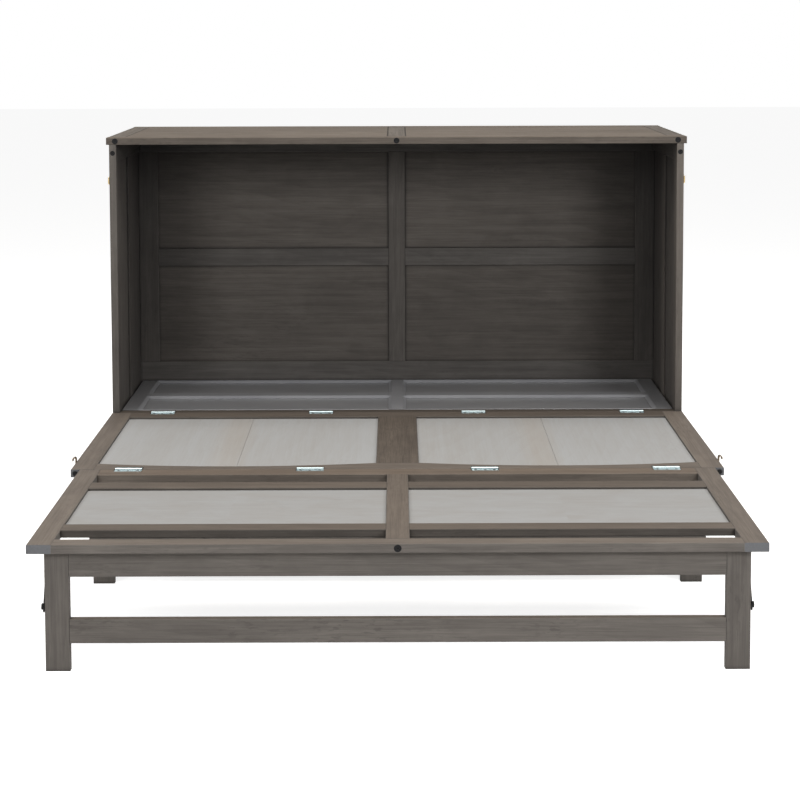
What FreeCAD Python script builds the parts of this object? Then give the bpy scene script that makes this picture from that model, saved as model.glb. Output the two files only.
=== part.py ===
# A cabinet bed, open as a bed: a low chest with a panelled back, sides and top,
# a middle section that is the chest's folding front, and a front section that
# folds over onto it. Two leg frames with stays hold the front section level.
#
# Millimetres. X runs across the bed, Y from the foot of the bed to the back of
# the chest, Z up. The origin is on the floor, under the middle of the whole bed.

import FreeCAD, Part
import math
import os

Vector = FreeCAD.Vector

# ---------------------------------------------------------------- driving sizes

# Stock
stock = 20.0                    # thickness of every rail, stile and leg
arris = 1.2                     # eased long edges
panel_thickness = 8.0
groove_depth = 8.0              # how far a panel reaches into the wood round it
groove_play = 1.0               # room at the bottom of a groove
rod_sides = 12                  # pins, shanks and their bores, many-sided
barrel_sides = 16               # hinge barrels and the rounded ends of small pieces

# Chest
cabinet_width = 1630.0
cabinet_depth = 630.0
platform_height = 282.0         # top of the sleeping surface
opening_height = 768.0          # from the platform to the underside of the top
top_thickness = 20.0
top_side_overhang = 8.0
top_rear_overhang = 28.0
top_member = 50.0               # width of the top's rails and stiles
centre_member = 52.0            # width of the centre stiles
side_member = 50.0
side_bottom_rail = 80.0
side_centre_at = 288.0          # centre of a side's middle stile, behind the front
back_inset = 65.0               # from the rear of the sides to the back's rear face
back_member = 54.0
back_bottom_rail = 79.0
hinge_rail_width = 38.0
platform_gap = 2.0              # in front of and behind the fixed platform
platform_side_gap = 1.0
platform_member = 54.0          # width of its side stiles
platform_strip = 16.0           # width of its front and rear rails
platform_mid_rail = 66.0
platform_mid_at = 292.0         # centre of its middle rail, behind the front
platform_sink = 8.0             # from its frame down to its fields
platform_slope = 9.0            # width of the slope round each field
platform_lip = 1.5              # upright edge at the foot of the slope
toe_height = 30.0               # open space under the fixed front
lower_rail = 50.0
cleat_width = 25.0
cleat_height = 40.0
bearer_height = 60.0
rear_bearer_height = 80.0

# Middle section, the folding front of the chest
middle_side_overhang = 1.0      # each side, past the chest's side
middle_length = 760.0
middle_side_stile = 58.0
middle_centre_stile = 108.0
middle_hinge_rail = 68.0
arched_rail = 68.0              # width at the ends of each arch
arch_rise = 36.0
seam_vee = 1.0                  # eased edge along the seam between two panel boards
seam_gap = 2.0                  # between the edges of two sections

# Front section
front_length = 752.0
front_side_clearance = 1.5      # between it and the chest's sides when stowed
front_side_stile = 53.0
end_rail = 48.0
front_slot = 80.0
slat_front = 56.0
fold_rail = 63.0
rear_slot = 83.0
slat_rear = 64.0
slat_thickness = 17.0
beam_end_gap = 63.5             # from a side stile to the end of a cross beam
beam_height = 32.0
bumper_radius = 6.0
bumper_thickness = 3.0
bumper_inset = 11.0             # from the middle section's side to a bumper's centre

# Seam hinges
hinge_rise = 1.0                # axis above the sleeping surface
hinge_length = 67.0
leaf_width = 24.0
leaf_thickness = 2.0
barrel_radius = 2.7
pin_radius = 1.3
pin_play = 0.1
knuckle_gap = 0.3
mortise_play = 0.4
notch_depth = 12.0              # of the rail's rear edge behind the outer hinges
outer_hinge_inset = 144.0       # from the side of the chest to the hinge's middle
inner_hinge_at = 218.0          # from the middle of the bed

# Leg frames
leg_width = 53.0
leg_inset = 35.0                # from the section's side to the leg's outer face
apron_height = 53.0
stretcher_height = 53.0
stretcher_above_floor = 61.0
front_leg_setback = 20.0
seam_leg_setback = 9.0
leg_top_play = 0.3              # under the hinge leaves that the frame's top faces
leg_hinge_length = 60.0
leg_leaf_width = 22.0
leg_hinge_inset = 145.0         # from a leg to the middle of its nearest hinge
leg_hinge_offset = 3.0          # axis to the wood on both sides of it

# Stays that lock the leg frames
stay_bolt_height = 140.0        # above the floor
stay_bolt_forward = 1.0         # in front of the middle of the leg
stay_pivot_back = 44.0          # behind the leg's hinge axis
stay_pivot_drop = 4.0           # below it
stay_width = 11.0
stay_thickness = 2.5
stay_tail = 13.0                # beyond the bolt
stay_from_leg = 1.5
stay_bolt_radius = 2.5
stay_bolt_head_radius = 7.0
stay_bolt_head = 3.7
stay_notch_play = 0.7
stay_layer_play = 0.3           # stay to bolt head
bracket_play = 0.5              # stay to bracket
bracket_plate = 2.5
bracket_length = 20.0
bracket_flange = 17.5
bracket_drop = 9.0

# Draw latches
latch_from_hinge = 662.0        # hinge axis to the middle of the strike hook
latch_plate_front = 30.0        # behind the front edge of the side
latch_plate_length = 46.0
latch_plate_width = 18.0
latch_plate_thickness = 1.5
latch_ear_outer = 10.0          # outer face of an ear, from the latch's middle
latch_ear_thickness = 1.5
latch_ear_half_length = 6.0
lever_pivot_back = 40.0
lever_pin_radius = 1.5
lever_hub_radius = 3.4
lever_half_width = 7.5
lever_length = 40.0
lever_sheet = 2.0
lever_curl = 6.0                # how far the finger end stands out
loop_pivot_back = 12.0          # behind the lever's pivot
loop_wire_radius = 1.5
loop_half_width = 12.2
loop_bar_play = 0.3             # latched loop bar to the inside of the hook's bend
strike_width = 16.0
strike_thickness = 2.5
strike_lip_out = 10.5           # chest's side to the outside of the lip
strike_bend_back = 9.75         # how far the bend stands behind the front plane
strike_foot = 16.0              # how far its foot reaches down the section's edge
strike_lip = 4.5                # straight end of the lip

# Connector bolts
bolt_head_radius = 8.2
bolt_head = 2.2
bolt_shank_radius = 3.0
bolt_length = 78.0
bolt_socket_radius = 3.2
bolt_socket_depth = 1.6
side_bolt_drop = 24.0           # below the top slab
side_bolt_head_radius = 7.0

# ------------------------------------------------------------------ main places

half_cabinet = cabinet_width / 2
half_inside = half_cabinet - stock
half_middle = half_cabinet + middle_side_overhang
half_front = half_inside - front_side_clearance
half_top = half_cabinet + top_side_overhang
half_centre = centre_member / 2

front_reach = 1.5 * seam_gap + middle_length + front_length
rear_reach = cabinet_depth + top_rear_overhang
cabinet_front = (front_reach - rear_reach) / 2
cabinet_rear = cabinet_front + cabinet_depth

middle_rear = cabinet_front - seam_gap / 2
middle_front = middle_rear - middle_length
fold_axis_y = middle_front - seam_gap / 2
front_rear = fold_axis_y - seam_gap / 2
front_edge = front_rear - front_length

platform_z = platform_height
board_z = platform_z - stock            # underside of every sleeping-surface board
axis_z = platform_z + hinge_rise
underside_z = platform_z + opening_height
top_z = underside_z + top_thickness


# --------------------------------------------------------------------- helpers

def box(x, y, z):
    """A plain block between the given pairs of coordinates."""
    low = Vector(x[0], y[0], z[0])
    return Part.makeBox(x[1] - x[0], y[1] - y[0], z[1] - z[0], low)


def across(centre, width):
    """The span of a width about a centre."""
    return (centre - width / 2, centre + width / 2)


def place(axis, along, a, b):
    """A point from its coordinate along an axis and the other two in X, Y, Z order."""
    return {"x": Vector(along, a, b), "y": Vector(a, along, b), "z": Vector(a, b, along)}[axis]


def polygon(centre, radius, sides):
    """The corners of a regular polygon."""
    turns = [2 * math.pi * i / sides for i in range(sides)]
    return [(centre[0] + radius * math.cos(t), centre[1] + radius * math.sin(t)) for t in turns]


def prism(outline, axis, span):
    """A closed outline of (a, b) corners, extruded along an axis."""
    corners = [place(axis, span[0], a, b) for a, b in outline]
    face = Part.Face(Part.makePolygon(corners + corners[:1]))
    return face.extrude(place(axis, span[1] - span[0], 0, 0))


def board(x, y, z, grain):
    """A board that fills the spans, its four long edges eased along the grain."""
    spans = {"x": x, "y": y, "z": z}
    along = spans.pop(grain)
    (a0, a1), (b0, b1) = spans.values()
    e = arris
    outline = [(a0 + e, b0), (a1 - e, b0), (a1, b0 + e), (a1, b1 - e),
               (a1 - e, b1), (a0 + e, b1), (a0, b1 - e), (a0, b0 + e)]
    return prism(outline, grain, along)


def cylinder(axis, centre, radius, span):
    """A cylinder along an axis, about a centre given by its other two coordinates."""
    base = place(axis, span[0], *centre)
    return Part.makeCylinder(radius, span[1] - span[0], base, place(axis, 1, 0, 0))


def rod(axis, centre, radius, span, sides=rod_sides):
    """A many-sided rod along an axis, for small hardware that repeats."""
    return prism(polygon(centre, radius, sides), axis, span)


def cut_all(shape, cutters):
    """The shape less every cutter whose box meets its own."""
    for cutter in cutters:
        if shape.BoundBox.intersect(cutter.BoundBox):
            shape = shape.cut(cutter)
    return shape


def mirrored(shape):
    """The same piece for the other side of the bed."""
    return shape.mirror(Vector(0, 0, 0), Vector(1, 0, 0))


def both_sides(shapes):
    """Each piece and its mirror image."""
    return [s for shape in shapes for s in (shape, mirrored(shape))]


def panel_in_groove(x, y, z, normal):
    """A flat panel let into the wood round an opening, and the cutter for its groove.

    The span across the normal is the panel's thickness, the others the opening's.
    """
    panel, groove = [], []
    for axis, (low, high) in zip("xyz", (x, y, z)):
        reach = 0 if axis == normal else groove_depth
        deep = 0 if axis == normal else groove_depth + groove_play
        panel.append((low - reach, high + reach))
        groove.append((low - deep, high + deep))
    return box(*panel), box(*groove)


def save(name, solids):
    """Writes one node: a single solid, or a group of separate ones."""
    for solid in solids:
        if not solid.isValid() or solid.Volume <= 0:
            raise ValueError(f"{name} has a bad solid")
    shape = solids[0] if len(solids) == 1 else Part.makeCompound(solids)
    shape.exportStep(f"parts/{name}.step")


# ---------------------------------------------------------------------- hinges

def knuckles(length, parity):
    """The spans along X of a leaf's own knuckles: the two ends, or the middle one."""
    third = length / 3
    spans = [(-length / 2 + i * third, -length / 2 + (i + 1) * third) for i in range(3)]
    own = [spans[0], spans[2]] if parity == "ends" else [spans[1]]
    trim = knuckle_gap / 2
    return [(low + trim, high - trim) for low, high in own]


def hinge_leaf(length, width, parity, offset):
    """A leaf about an axis along X, its plate towards +Y on wood at z = -offset."""
    plate_z = (-offset, -offset + leaf_thickness)
    start = barrel_radius + knuckle_gap
    leaf = box(across(0, length), (start, width), plate_z)
    for span in knuckles(length, parity):
        leaf = leaf.fuse(box(span, (0, start), plate_z))
        leaf = leaf.fuse(rod("x", (0, 0), barrel_radius, span, barrel_sides))
    leaf = leaf.removeSplitter()
    return leaf.cut(rod("x", (0, 0), pin_radius + pin_play, across(0, length)))


def hinge_pin(length):
    """A pin through the knuckles, its ends flush with the outer ones."""
    return rod("x", (0, 0), pin_radius, across(0, length - knuckle_gap))


def moved(shape, x=0, y=0, z=0, turn=0, tilt=0, roll=0):
    """A copy tilted about X, rolled about Y, turned about Z, and then moved."""
    shape = shape.copy()
    origin = Vector(0, 0, 0)
    shape.rotate(origin, Vector(1, 0, 0), tilt)
    shape.rotate(origin, Vector(0, 1, 0), roll)
    shape.rotate(origin, Vector(0, 0, 1), turn)
    shape.translate(Vector(x, y, z))
    return shape


outer_hinge_at = half_cabinet - outer_hinge_inset
hinge_places = [-outer_hinge_at, -inner_hinge_at, inner_hinge_at, outer_hinge_at]
seam_offset = leaf_thickness + hinge_rise


def seam_hinges(axis_y):
    """The rear leaves, front leaves and pins of one row of hinges."""
    rear = hinge_leaf(hinge_length, leaf_width, "ends", seam_offset)
    front = hinge_leaf(hinge_length, leaf_width, "middle", seam_offset)
    pin = hinge_pin(hinge_length)
    return ([moved(rear, x, axis_y, axis_z) for x in hinge_places],
            [moved(front, x, axis_y, axis_z, turn=180) for x in hinge_places],
            [moved(pin, x, axis_y, axis_z) for x in hinge_places])


def mortises(axis_y, side):
    """The shallow beds for one row's leaves, behind (1) or in front of (-1) its axis."""
    reach = sorted((axis_y, axis_y + side * (leaf_width + mortise_play)))
    depth = (platform_z - leaf_thickness, platform_z + stock)
    width = hinge_length + 2 * mortise_play + 2
    return [box(across(x, width), reach, depth) for x in hinge_places]


# ----------------------------------------------------------------------- bolts

def connector_bolt(x, front, z, head_radius):
    """A black flat-headed bolt that goes in along +Y, its head flush with the wood."""
    bolt = cylinder("y", (x, z), head_radius, (front, front + bolt_head))
    shank = rod("y", (x, z), bolt_shank_radius, (front, front + bolt_length))
    socket = prism(polygon((x, z), bolt_socket_radius, 6), "y", (front, front + bolt_socket_depth))
    return bolt.fuse(shank).removeSplitter().cut(socket)


def bolt_hole(x, front, z, head_radius):
    """The counterbored hole for a connector bolt, a touch wider than its head."""
    seat = cylinder("y", (x, z), head_radius + 0.2, (front - 1, front + bolt_head))
    shank = rod("y", (x, z), bolt_shank_radius, (front, front + bolt_length))
    return seat.fuse(shank)


# ------------------------------------------------------------------------- top

top_rear = cabinet_front + rear_reach
top_mid_z = underside_z + top_thickness / 2
top_span_z = (underside_z, top_z)
top_bolts = [(x, cabinet_front, top_mid_z, bolt_head_radius)
             for x in (-half_top + top_member / 2, 0, half_top - top_member / 2)]
side_bolts = [(x, cabinet_front, underside_z - side_bolt_drop, side_bolt_head_radius)
              for x in (-half_cabinet + stock / 2, half_cabinet - stock / 2)]
bolt_holes = [bolt_hole(*b) for b in top_bolts + side_bolts]


def make_top():
    """The slab: rails across, stiles between them, and two boards to a bay."""
    inner = (cabinet_front + top_member, top_rear - top_member)
    rails = [board((-half_top, half_top), y, top_span_z, "x")
             for y in ((cabinet_front, inner[0]), (inner[1], top_rear))]
    stiles = [board(x, inner, top_span_z, "y")
              for x in ((-half_top, -half_top + top_member), across(0, centre_member),
                        (half_top - top_member, half_top))]
    middle = (inner[0] + inner[1]) / 2
    bay = (half_centre, half_top - top_member)
    planks, grooves = [], []
    tongue_z = across(top_mid_z, panel_thickness)
    for y in ((inner[0], middle), (middle, inner[1])):
        plank = board(bay, y, top_span_z, "x")
        at_front = y[0] == inner[0]
        tongue = (y[0] - groove_depth, y[1]) if at_front else (y[0], y[1] + groove_depth)
        planks.append(plank.fuse(box((bay[0] - groove_depth, bay[1] + groove_depth),
                                     tongue, tongue_z)))
    deep = groove_depth + groove_play
    grooves.append(box((bay[0] - deep, bay[1] + deep), (inner[0] - deep, inner[1] + deep),
                       tongue_z))
    grooves = both_sides(grooves)
    save("top_rails", [cut_all(r, grooves + bolt_holes) for r in rails])
    save("top_stiles", [cut_all(s, grooves + bolt_holes) for s in stiles])
    save("top_boards", both_sides(planks))


# ----------------------------------------------------------------------- sides

def make_side(name, finish):
    """One side of the chest: three stiles, two rails and two sunk panels."""
    x = (-half_cabinet, -half_inside)
    panel_x = across(-half_cabinet + stock / 2, panel_thickness)
    centre = across(cabinet_front + side_centre_at, centre_member)
    front = (cabinet_front, cabinet_front + side_member)
    rear = (cabinet_rear - side_member, cabinet_rear)
    full = (0, underside_z)
    between = (side_bottom_rail, underside_z - side_member)
    openings = [(front[1], centre[0]), (centre[1], rear[0])]
    fitted = [panel_in_groove(panel_x, y, between, "x") for y in openings]
    grooves = [groove for panel, groove in fitted]
    stiles = [board(x, front, full, "z"), board(x, centre, between, "z"), board(x, rear, full, "z")]
    inner = (front[1], rear[0])
    rails = [board(x, inner, (0, between[0]), "y"), board(x, inner, (between[1], underside_z), "y")]
    save(f"{name}_side_stiles", [finish(cut_all(s, grooves + bolt_holes)) for s in stiles])
    save(f"{name}_side_rails", [finish(cut_all(r, grooves + bolt_holes)) for r in rails])
    save(f"{name}_side_panels", [finish(panel) for panel, groove in fitted])


# ------------------------------------------------------------------------ back

back_face = cabinet_rear - back_inset - stock


def make_back():
    """The back inside the chest: a frame of four sunk panels above the platform.

    It reaches into the sunk fields of the sides, below their top rails.
    """
    y = (back_face, back_face + stock)
    panel_y = across(back_face + stock / 2, panel_thickness)
    low = (board_z, board_z + back_bottom_rail)
    high = (underside_z - back_member, underside_z)
    waist = across((low[1] + high[0]) / 2, back_member)
    wide = (-half_inside, half_inside)
    tall = (low[1], high[0])
    bay = (half_centre, half_inside - back_member)
    into_side = half_inside + (stock - panel_thickness) / 2
    stiles = [board((-into_side, -bay[1]), y, tall, "z"), board(across(0, centre_member), y, tall, "z"),
              board((bay[1], into_side), y, tall, "z")]
    mid_rail = board(bay, y, waist, "x")
    fitted = [panel_in_groove(bay, panel_y, z, "y") for z in ((low[1], waist[0]), (waist[1], high[0]))]
    grooves = both_sides([groove for panel, groove in fitted])
    rails = [board((-into_side, into_side), y, low, "x"), board(wide, y, high, "x")] + both_sides([mid_rail])
    save("back_rails", [cut_all(r, grooves) for r in rails])
    save("back_stiles", [cut_all(s, grooves) for s in stiles])
    save("back_panels", both_sides([panel for panel, groove in fitted]))


# ----------------------------------------------------- platform and lower front

surface_z = (board_z, platform_z)
sunk_z = across(platform_z - stock / 2, panel_thickness)
hinge_rail_rear = cabinet_front + hinge_rail_width


def sloped_edge(x, y):
    """The cutter for the slope round an opening in the platform, wider towards the top."""
    foot_z = platform_z - platform_sink + platform_lip
    over = 1.0 / (platform_z - foot_z)      # the slope carried on a little past the surface
    wide = platform_slope * (1 + over)
    levels = []
    for z, grow in ((foot_z, 0), (platform_z + 1.0, wide)):
        corners = [Vector(x[0] - grow, y[0] - grow, z), Vector(x[1] + grow, y[0] - grow, z),
                   Vector(x[1] + grow, y[1] + grow, z), Vector(x[0] - grow, y[1] + grow, z)]
        levels.append(Part.makePolygon(corners + corners[:1]))
    return Part.makeLoft(levels, True, True)


def make_platform():
    """The fixed part of the sleeping surface: a grey frame with four sunk fields."""
    half = half_inside - platform_side_gap
    y = (hinge_rail_rear + platform_gap, back_face - platform_gap)
    mid = across(cabinet_front + platform_mid_at, platform_mid_rail)
    bay = (half_centre, half - platform_member)
    field_z = (platform_z - platform_sink - panel_thickness, platform_z - platform_sink)
    rails_y = [(y[0], y[0] + platform_strip), mid, (y[1] - platform_strip, y[1])]
    rails = both_sides([board(bay, span, surface_z, "x") for span in rails_y])
    stiles = [board(x, y, surface_z, "y")
              for x in ((-half, -bay[1]), across(0, centre_member), (bay[1], half))]
    openings = [(rails_y[0][1], mid[0]), (mid[1], rails_y[2][0])]
    fitted = [panel_in_groove(bay, span, field_z, "z") for span in openings]
    slopes = [sloped_edge(bay, span) for span in openings]
    cutters = both_sides([groove for panel, groove in fitted] + slopes)
    save("platform_frame", [cut_all(p, cutters) for p in stiles + rails])
    save("platform_panels", both_sides([panel for panel, groove in fitted]))


def make_hinge_rail():
    """The fixed rail that carries the middle section's hinges, notched behind the outer two."""
    rail = board((-half_inside, half_inside), (cabinet_front, hinge_rail_rear), surface_z, "x")
    notch_y = (cabinet_front + leaf_width + mortise_play, hinge_rail_rear)
    notch_z = (platform_z - notch_depth, platform_z)
    notches = [box(across(x, hinge_length), notch_y, notch_z) for x in (hinge_places[0], hinge_places[-1])]
    save("hinge_rail", [cut_all(rail, mortises(cabinet_front, 1) + notches)])


def make_lower_front():
    """The fixed front under the hinge rail, with two sunk panels."""
    y = (cabinet_front, cabinet_front + stock)
    panel_y = across(cabinet_front + stock / 2, panel_thickness)
    z = (toe_height, board_z)
    bay = (half_centre, half_inside - side_member)
    opening = (z[0] + lower_rail, z[1] - lower_rail)
    panel, groove = panel_in_groove(bay, panel_y, opening, "y")
    grooves = both_sides([groove])
    stiles = [board(x, y, z, "z")
              for x in ((-half_inside, -bay[1]), across(0, centre_member), (bay[1], half_inside))]
    rails = both_sides([board(bay, y, span, "x") for span in ((z[0], opening[0]), (opening[1], z[1]))])
    save("lower_front_stiles", [cut_all(s, grooves) for s in stiles])
    save("lower_front_rails", [cut_all(r, grooves) for r in rails])
    save("lower_front_panels", both_sides([panel]))


def make_bearers():
    """What carries the platform: side cleats, a rear bearer and one down the middle."""
    rear = (back_face - platform_gap - stock, back_face - platform_gap)
    run = (cabinet_front + stock, rear[0])
    cleat = board((half_inside - cleat_width, half_inside), run, (board_z - cleat_height, board_z), "y")
    middle = board(across(0, stock), run, (board_z - bearer_height, board_z), "y")
    cross = board((-half_inside, half_inside), rear, (board_z - rear_bearer_height, board_z), "x")
    save("platform_cleats", both_sides([cleat]))
    save("platform_bearers", [middle, cross])


# -------------------------------------------------------------- middle section

def arched_bay(bay, chord_y, shift, reach):
    """The outline of a bay up to its arch: a face from the hinge rail to the arc.

    The arc is moved towards the foot by shift, and the sides stand out by reach.
    """
    z = sunk_z[0]
    rear_y = middle_rear - middle_hinge_rail + reach
    left, right = bay[0] - reach, bay[1] + reach
    ends = Vector(bay[0], chord_y - shift, z), Vector(bay[1], chord_y - shift, z)
    crown = Vector((bay[0] + bay[1]) / 2, chord_y - arch_rise - shift, z)
    corners = [Vector(right, chord_y - shift, z), Vector(right, rear_y, z),
               Vector(left, rear_y, z), Vector(left, chord_y - shift, z)]
    edges = [Part.Arc(ends[0], crown, ends[1]).toShape()]
    path = [ends[1]] + corners + [ends[0]]
    for a, b in zip(path, path[1:]):
        if a.distanceToPoint(b) > 1e-6:
            edges.append(Part.LineSegment(a, b).toShape())
    return Part.Face(Part.Wire(edges))


def make_middle():
    """The middle section: the chest's folding front, with an arch in each bay."""
    y = (middle_front, middle_rear)
    chord_y = middle_front + arched_rail
    inner = (chord_y, middle_rear - middle_hinge_rail)
    bay = (middle_centre_stile / 2, half_middle - middle_side_stile)
    side_x = (-half_middle, -bay[1])
    seam = (bay[0] + bay[1]) / 2

    panel = arched_bay(bay, chord_y, groove_depth, groove_depth)
    panel = panel.extrude(Vector(0, 0, panel_thickness))
    deep = groove_depth + groove_play
    groove = arched_bay(bay, chord_y, deep, deep).extrude(Vector(0, 0, panel_thickness))
    grooves = both_sides([groove])
    arch = arched_bay(bay, chord_y, 0, 0)
    arch.translate(Vector(0, 0, board_z - sunk_z[0] - stock))
    arches = both_sides([arch.extrude(Vector(0, 0, 3 * stock))])

    stiles = both_sides([board(side_x, y, surface_z, "y")])
    centre = board(across(0, middle_centre_stile), inner, surface_z, "y")
    hinge_side = board((-bay[1], bay[1]), (inner[1], middle_rear), surface_z, "x")
    arched = board((-bay[1], bay[1]), (middle_front, chord_y), surface_z, "x")
    save("middle_side_stiles", [cut_all(s, grooves) for s in stiles])
    save("middle_centre_stile", [cut_all(centre, grooves)])
    save("middle_hinge_rail", [cut_all(hinge_side, grooves + mortises(cabinet_front, -1))])
    save("middle_arched_rail", [cut_all(arched, arches + grooves + mortises(fold_axis_y, 1))])

    spot = (half_middle - bumper_inset, platform_z - stock / 2)
    proud = (middle_front - bumper_thickness, middle_front)
    bumper = cylinder("y", spot, bumper_radius, proud)
    rim = [edge for edge in bumper.Edges if abs(edge.BoundBox.YMax - proud[0]) < 1e-4]
    save("bumpers", both_sides([bumper.makeChamfer(bumper_thickness / 3, rim)]))

    bounds = panel.BoundBox
    halves = []
    for span in ((bounds.XMin, seam), (seam, bounds.XMax)):
        half = panel.common(box(span, (bounds.YMin, bounds.YMax), sunk_z))
        for z, way in ((sunk_z[1], -1), (sunk_z[0], 1)):
            vee = [(seam - seam_vee, z), (seam + seam_vee, z), (seam, z + way * seam_vee)]
            half = half.cut(prism(vee, "y", (bounds.YMin, bounds.YMax)))
        halves.append(half)
    save("middle_panels", both_sides(halves))


# --------------------------------------------------------------- front section

def make_front():
    """The front section: slots, slats and a light panel in each of two bays."""
    side_x = (half_front - front_side_stile, half_front)
    bay = (half_centre, side_x[0])
    end_y = (front_edge, front_edge + end_rail)
    fold_y = (front_rear - fold_rail, front_rear)
    slat_z = (platform_z - slat_thickness, platform_z)
    slat_f = (end_y[1] + front_slot, end_y[1] + front_slot + slat_front)
    slat_r = (fold_y[0] - rear_slot - slat_rear, fold_y[0] - rear_slot)
    panel, groove = panel_in_groove(bay, (slat_f[1], slat_r[0]), sunk_z, "z")
    grooves = both_sides([groove])
    bolt = (0, front_edge, platform_z - stock / 2, bolt_head_radius)

    stiles = both_sides([board(side_x, (front_edge, front_rear), surface_z, "y")])
    centre = board(across(0, centre_member), (end_y[1], fold_y[0]), surface_z, "y")
    end = board((-bay[1], bay[1]), end_y, surface_z, "x")
    fold = board((-bay[1], bay[1]), fold_y, surface_z, "x")
    save("front_side_stiles", [cut_all(s, grooves) for s in stiles])
    save("front_centre_stile", [cut_all(centre, grooves + [bolt_hole(*bolt)])])
    save("front_end_rail", [end.cut(bolt_hole(*bolt))])
    save("front_fold_rail", [cut_all(fold, mortises(fold_axis_y, -1))])
    for name, span in (("front_slats", slat_f), ("rear_slats", slat_r)):
        save(name, [cut_all(s, grooves) for s in both_sides([board(bay, span, slat_z, "x")])])
    save("front_panels", both_sides([panel]))
    save("front_bolt", [connector_bolt(*bolt)])

    beam_half_length = side_x[0] - beam_end_gap
    beams = []
    notch = box(across(0, centre_member), (front_edge, front_rear), surface_z)
    for y in ((slat_f[0], slat_f[0] + stock), (slat_r[1] - stock, slat_r[1])):
        beam = board((-beam_half_length, beam_half_length), y, (slat_z[0] - beam_height, slat_z[0]), "x")
        beams.append(beam.cut(notch))
    save("front_cross_beams", beams)


# ------------------------------------------------------------------ leg frames

# Every leg frame is drawn about its own hinge axis, folding towards +Y, with the
# underside of the section above the axis and the leg in front of it.
leg_axis_z = board_z - leg_hinge_offset
floor_z = -leg_axis_z
leg_outer = half_front - leg_inset
leg_hinge_at = leg_outer - leg_width - leg_hinge_inset
leg_y = (-leg_hinge_offset - stock, -leg_hinge_offset)
leg_top = leg_hinge_offset - leaf_thickness - leg_top_play
bolt_point = (leg_y[0] + stock / 2 - stay_bolt_forward, floor_z + stay_bolt_height)
stay_pivot = (stay_pivot_back, -stay_pivot_drop)
stay_reach = math.dist(bolt_point, stay_pivot)
stay_angle = math.degrees(math.atan2(bolt_point[1] - stay_pivot[1], bolt_point[0] - stay_pivot[0]))
stay_ratio = -stay_angle / 90           # the stay's turn for each degree of the leg's
stay_x = (leg_outer + stay_from_leg, leg_outer + stay_from_leg + stay_thickness)
plate_x = (stay_x[1] + bracket_play, stay_x[1] + bracket_play + bracket_plate)


def make_stay():
    """One stay as it lies along +Y when folded, then turned down to the bolt.

    Its notch opens along the way that the bolt leaves it as the leg folds.
    """
    half = stay_width / 2
    bar = box(stay_x, (0, stay_reach + stay_tail - half), (-half, half))
    for y in (0, stay_reach + stay_tail - half):
        bar = bar.fuse(rod("x", (y, 0), half, stay_x, barrel_sides))
    bar = bar.removeSplitter()
    bar = bar.cut(rod("x", (0, 0), stay_bolt_radius + pin_play, stay_x))
    bolt_way = (-bolt_point[1], bolt_point[0])
    arm = (bolt_point[0] - stay_pivot[0], bolt_point[1] - stay_pivot[1])
    stay_way = (-arm[1] * stay_ratio, arm[0] * stay_ratio)
    away = math.atan2(bolt_way[1] - stay_way[1], bolt_way[0] - stay_way[0])
    gap = stay_bolt_radius + stay_notch_play
    notch = box(stay_x, (0, stay_width), (-gap, gap))
    notch = moved(notch, tilt=math.degrees(away) - stay_angle)
    notch = notch.fuse(rod("x", (0, 0), gap, stay_x))
    bar = bar.cut(moved(notch, y=stay_reach))
    return moved(bar, y=stay_pivot[0], z=stay_pivot[1], tilt=stay_angle)


def make_bracket():
    """The angle bracket under a side stile, and the pin that the stay turns on."""
    y = across(stay_pivot[0], bracket_length)
    plate = box(plate_x, y, (stay_pivot[1] - bracket_drop, leg_hinge_offset))
    flange = box((plate_x[0], plate_x[0] + bracket_flange), y,
                 (leg_hinge_offset - bracket_plate, leg_hinge_offset))
    bracket = plate.fuse(flange).removeSplitter()
    pin = rod("x", stay_pivot, stay_bolt_radius, (stay_x[0], plate_x[1]))
    head = rod("x", stay_pivot, stay_bolt_radius + 2, (plate_x[1], plate_x[1] + 1.5), barrel_sides)
    return [bracket.cut(pin), pin.fuse(head).removeSplitter()]


def make_stay_bolt():
    """The black bolt in a leg's outer face that a stay hooks over."""
    head_x = stay_x[1] + stay_layer_play
    shank = rod("x", bolt_point, stay_bolt_radius, (leg_outer, head_x))
    head = cylinder("x", bolt_point, stay_bolt_head_radius, (head_x, head_x + stay_bolt_head))
    return shank.fuse(head).removeSplitter()


def make_leg_frame(name, axis_y, turn):
    """A pair of legs with apron, stretcher, hinges and stays, folding towards +Y.

    turn is 180 for the frame that folds towards the foot of the bed.
    """
    def settle(shapes):
        return [moved(s, y=axis_y, z=leg_axis_z, turn=turn) for s in shapes]

    inner = leg_outer - leg_width
    leg = board((inner, leg_outer), leg_y, (floor_z, leg_top), "z")
    low = floor_z + stretcher_above_floor
    rails = [board((-inner, inner), leg_y, z, "x")
             for z in ((leg_top - apron_height, leg_top), (low, low + stretcher_height))]
    save(f"{name}_legs", settle(both_sides([leg])))
    save(f"{name}_leg_rails", settle(rails))
    leaf = (leg_hinge_length, leg_leaf_width)
    fixed = moved(hinge_leaf(*leaf, "ends", leg_hinge_offset), tilt=180)
    swung = moved(hinge_leaf(*leaf, "middle", leg_hinge_offset), tilt=-90)
    pin = hinge_pin(leg_hinge_length)
    places = (-leg_hinge_at, leg_hinge_at)
    save(f"{name}_leg_hinge_leaves", settle([moved(swung, x) for x in places]))
    save(f"{name}_stay_bolts", settle(both_sides([make_stay_bolt()])))
    save(f"{name}_leg_stays", settle(both_sides([make_stay()])))
    return (settle([moved(fixed, x) for x in places] + [moved(pin, x) for x in places]),
            settle(both_sides(make_bracket())))


front_leg_axis_y = front_edge + front_leg_setback + stock + leg_hinge_offset
seam_leg_axis_y = front_rear - seam_leg_setback - stock - leg_hinge_offset


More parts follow.
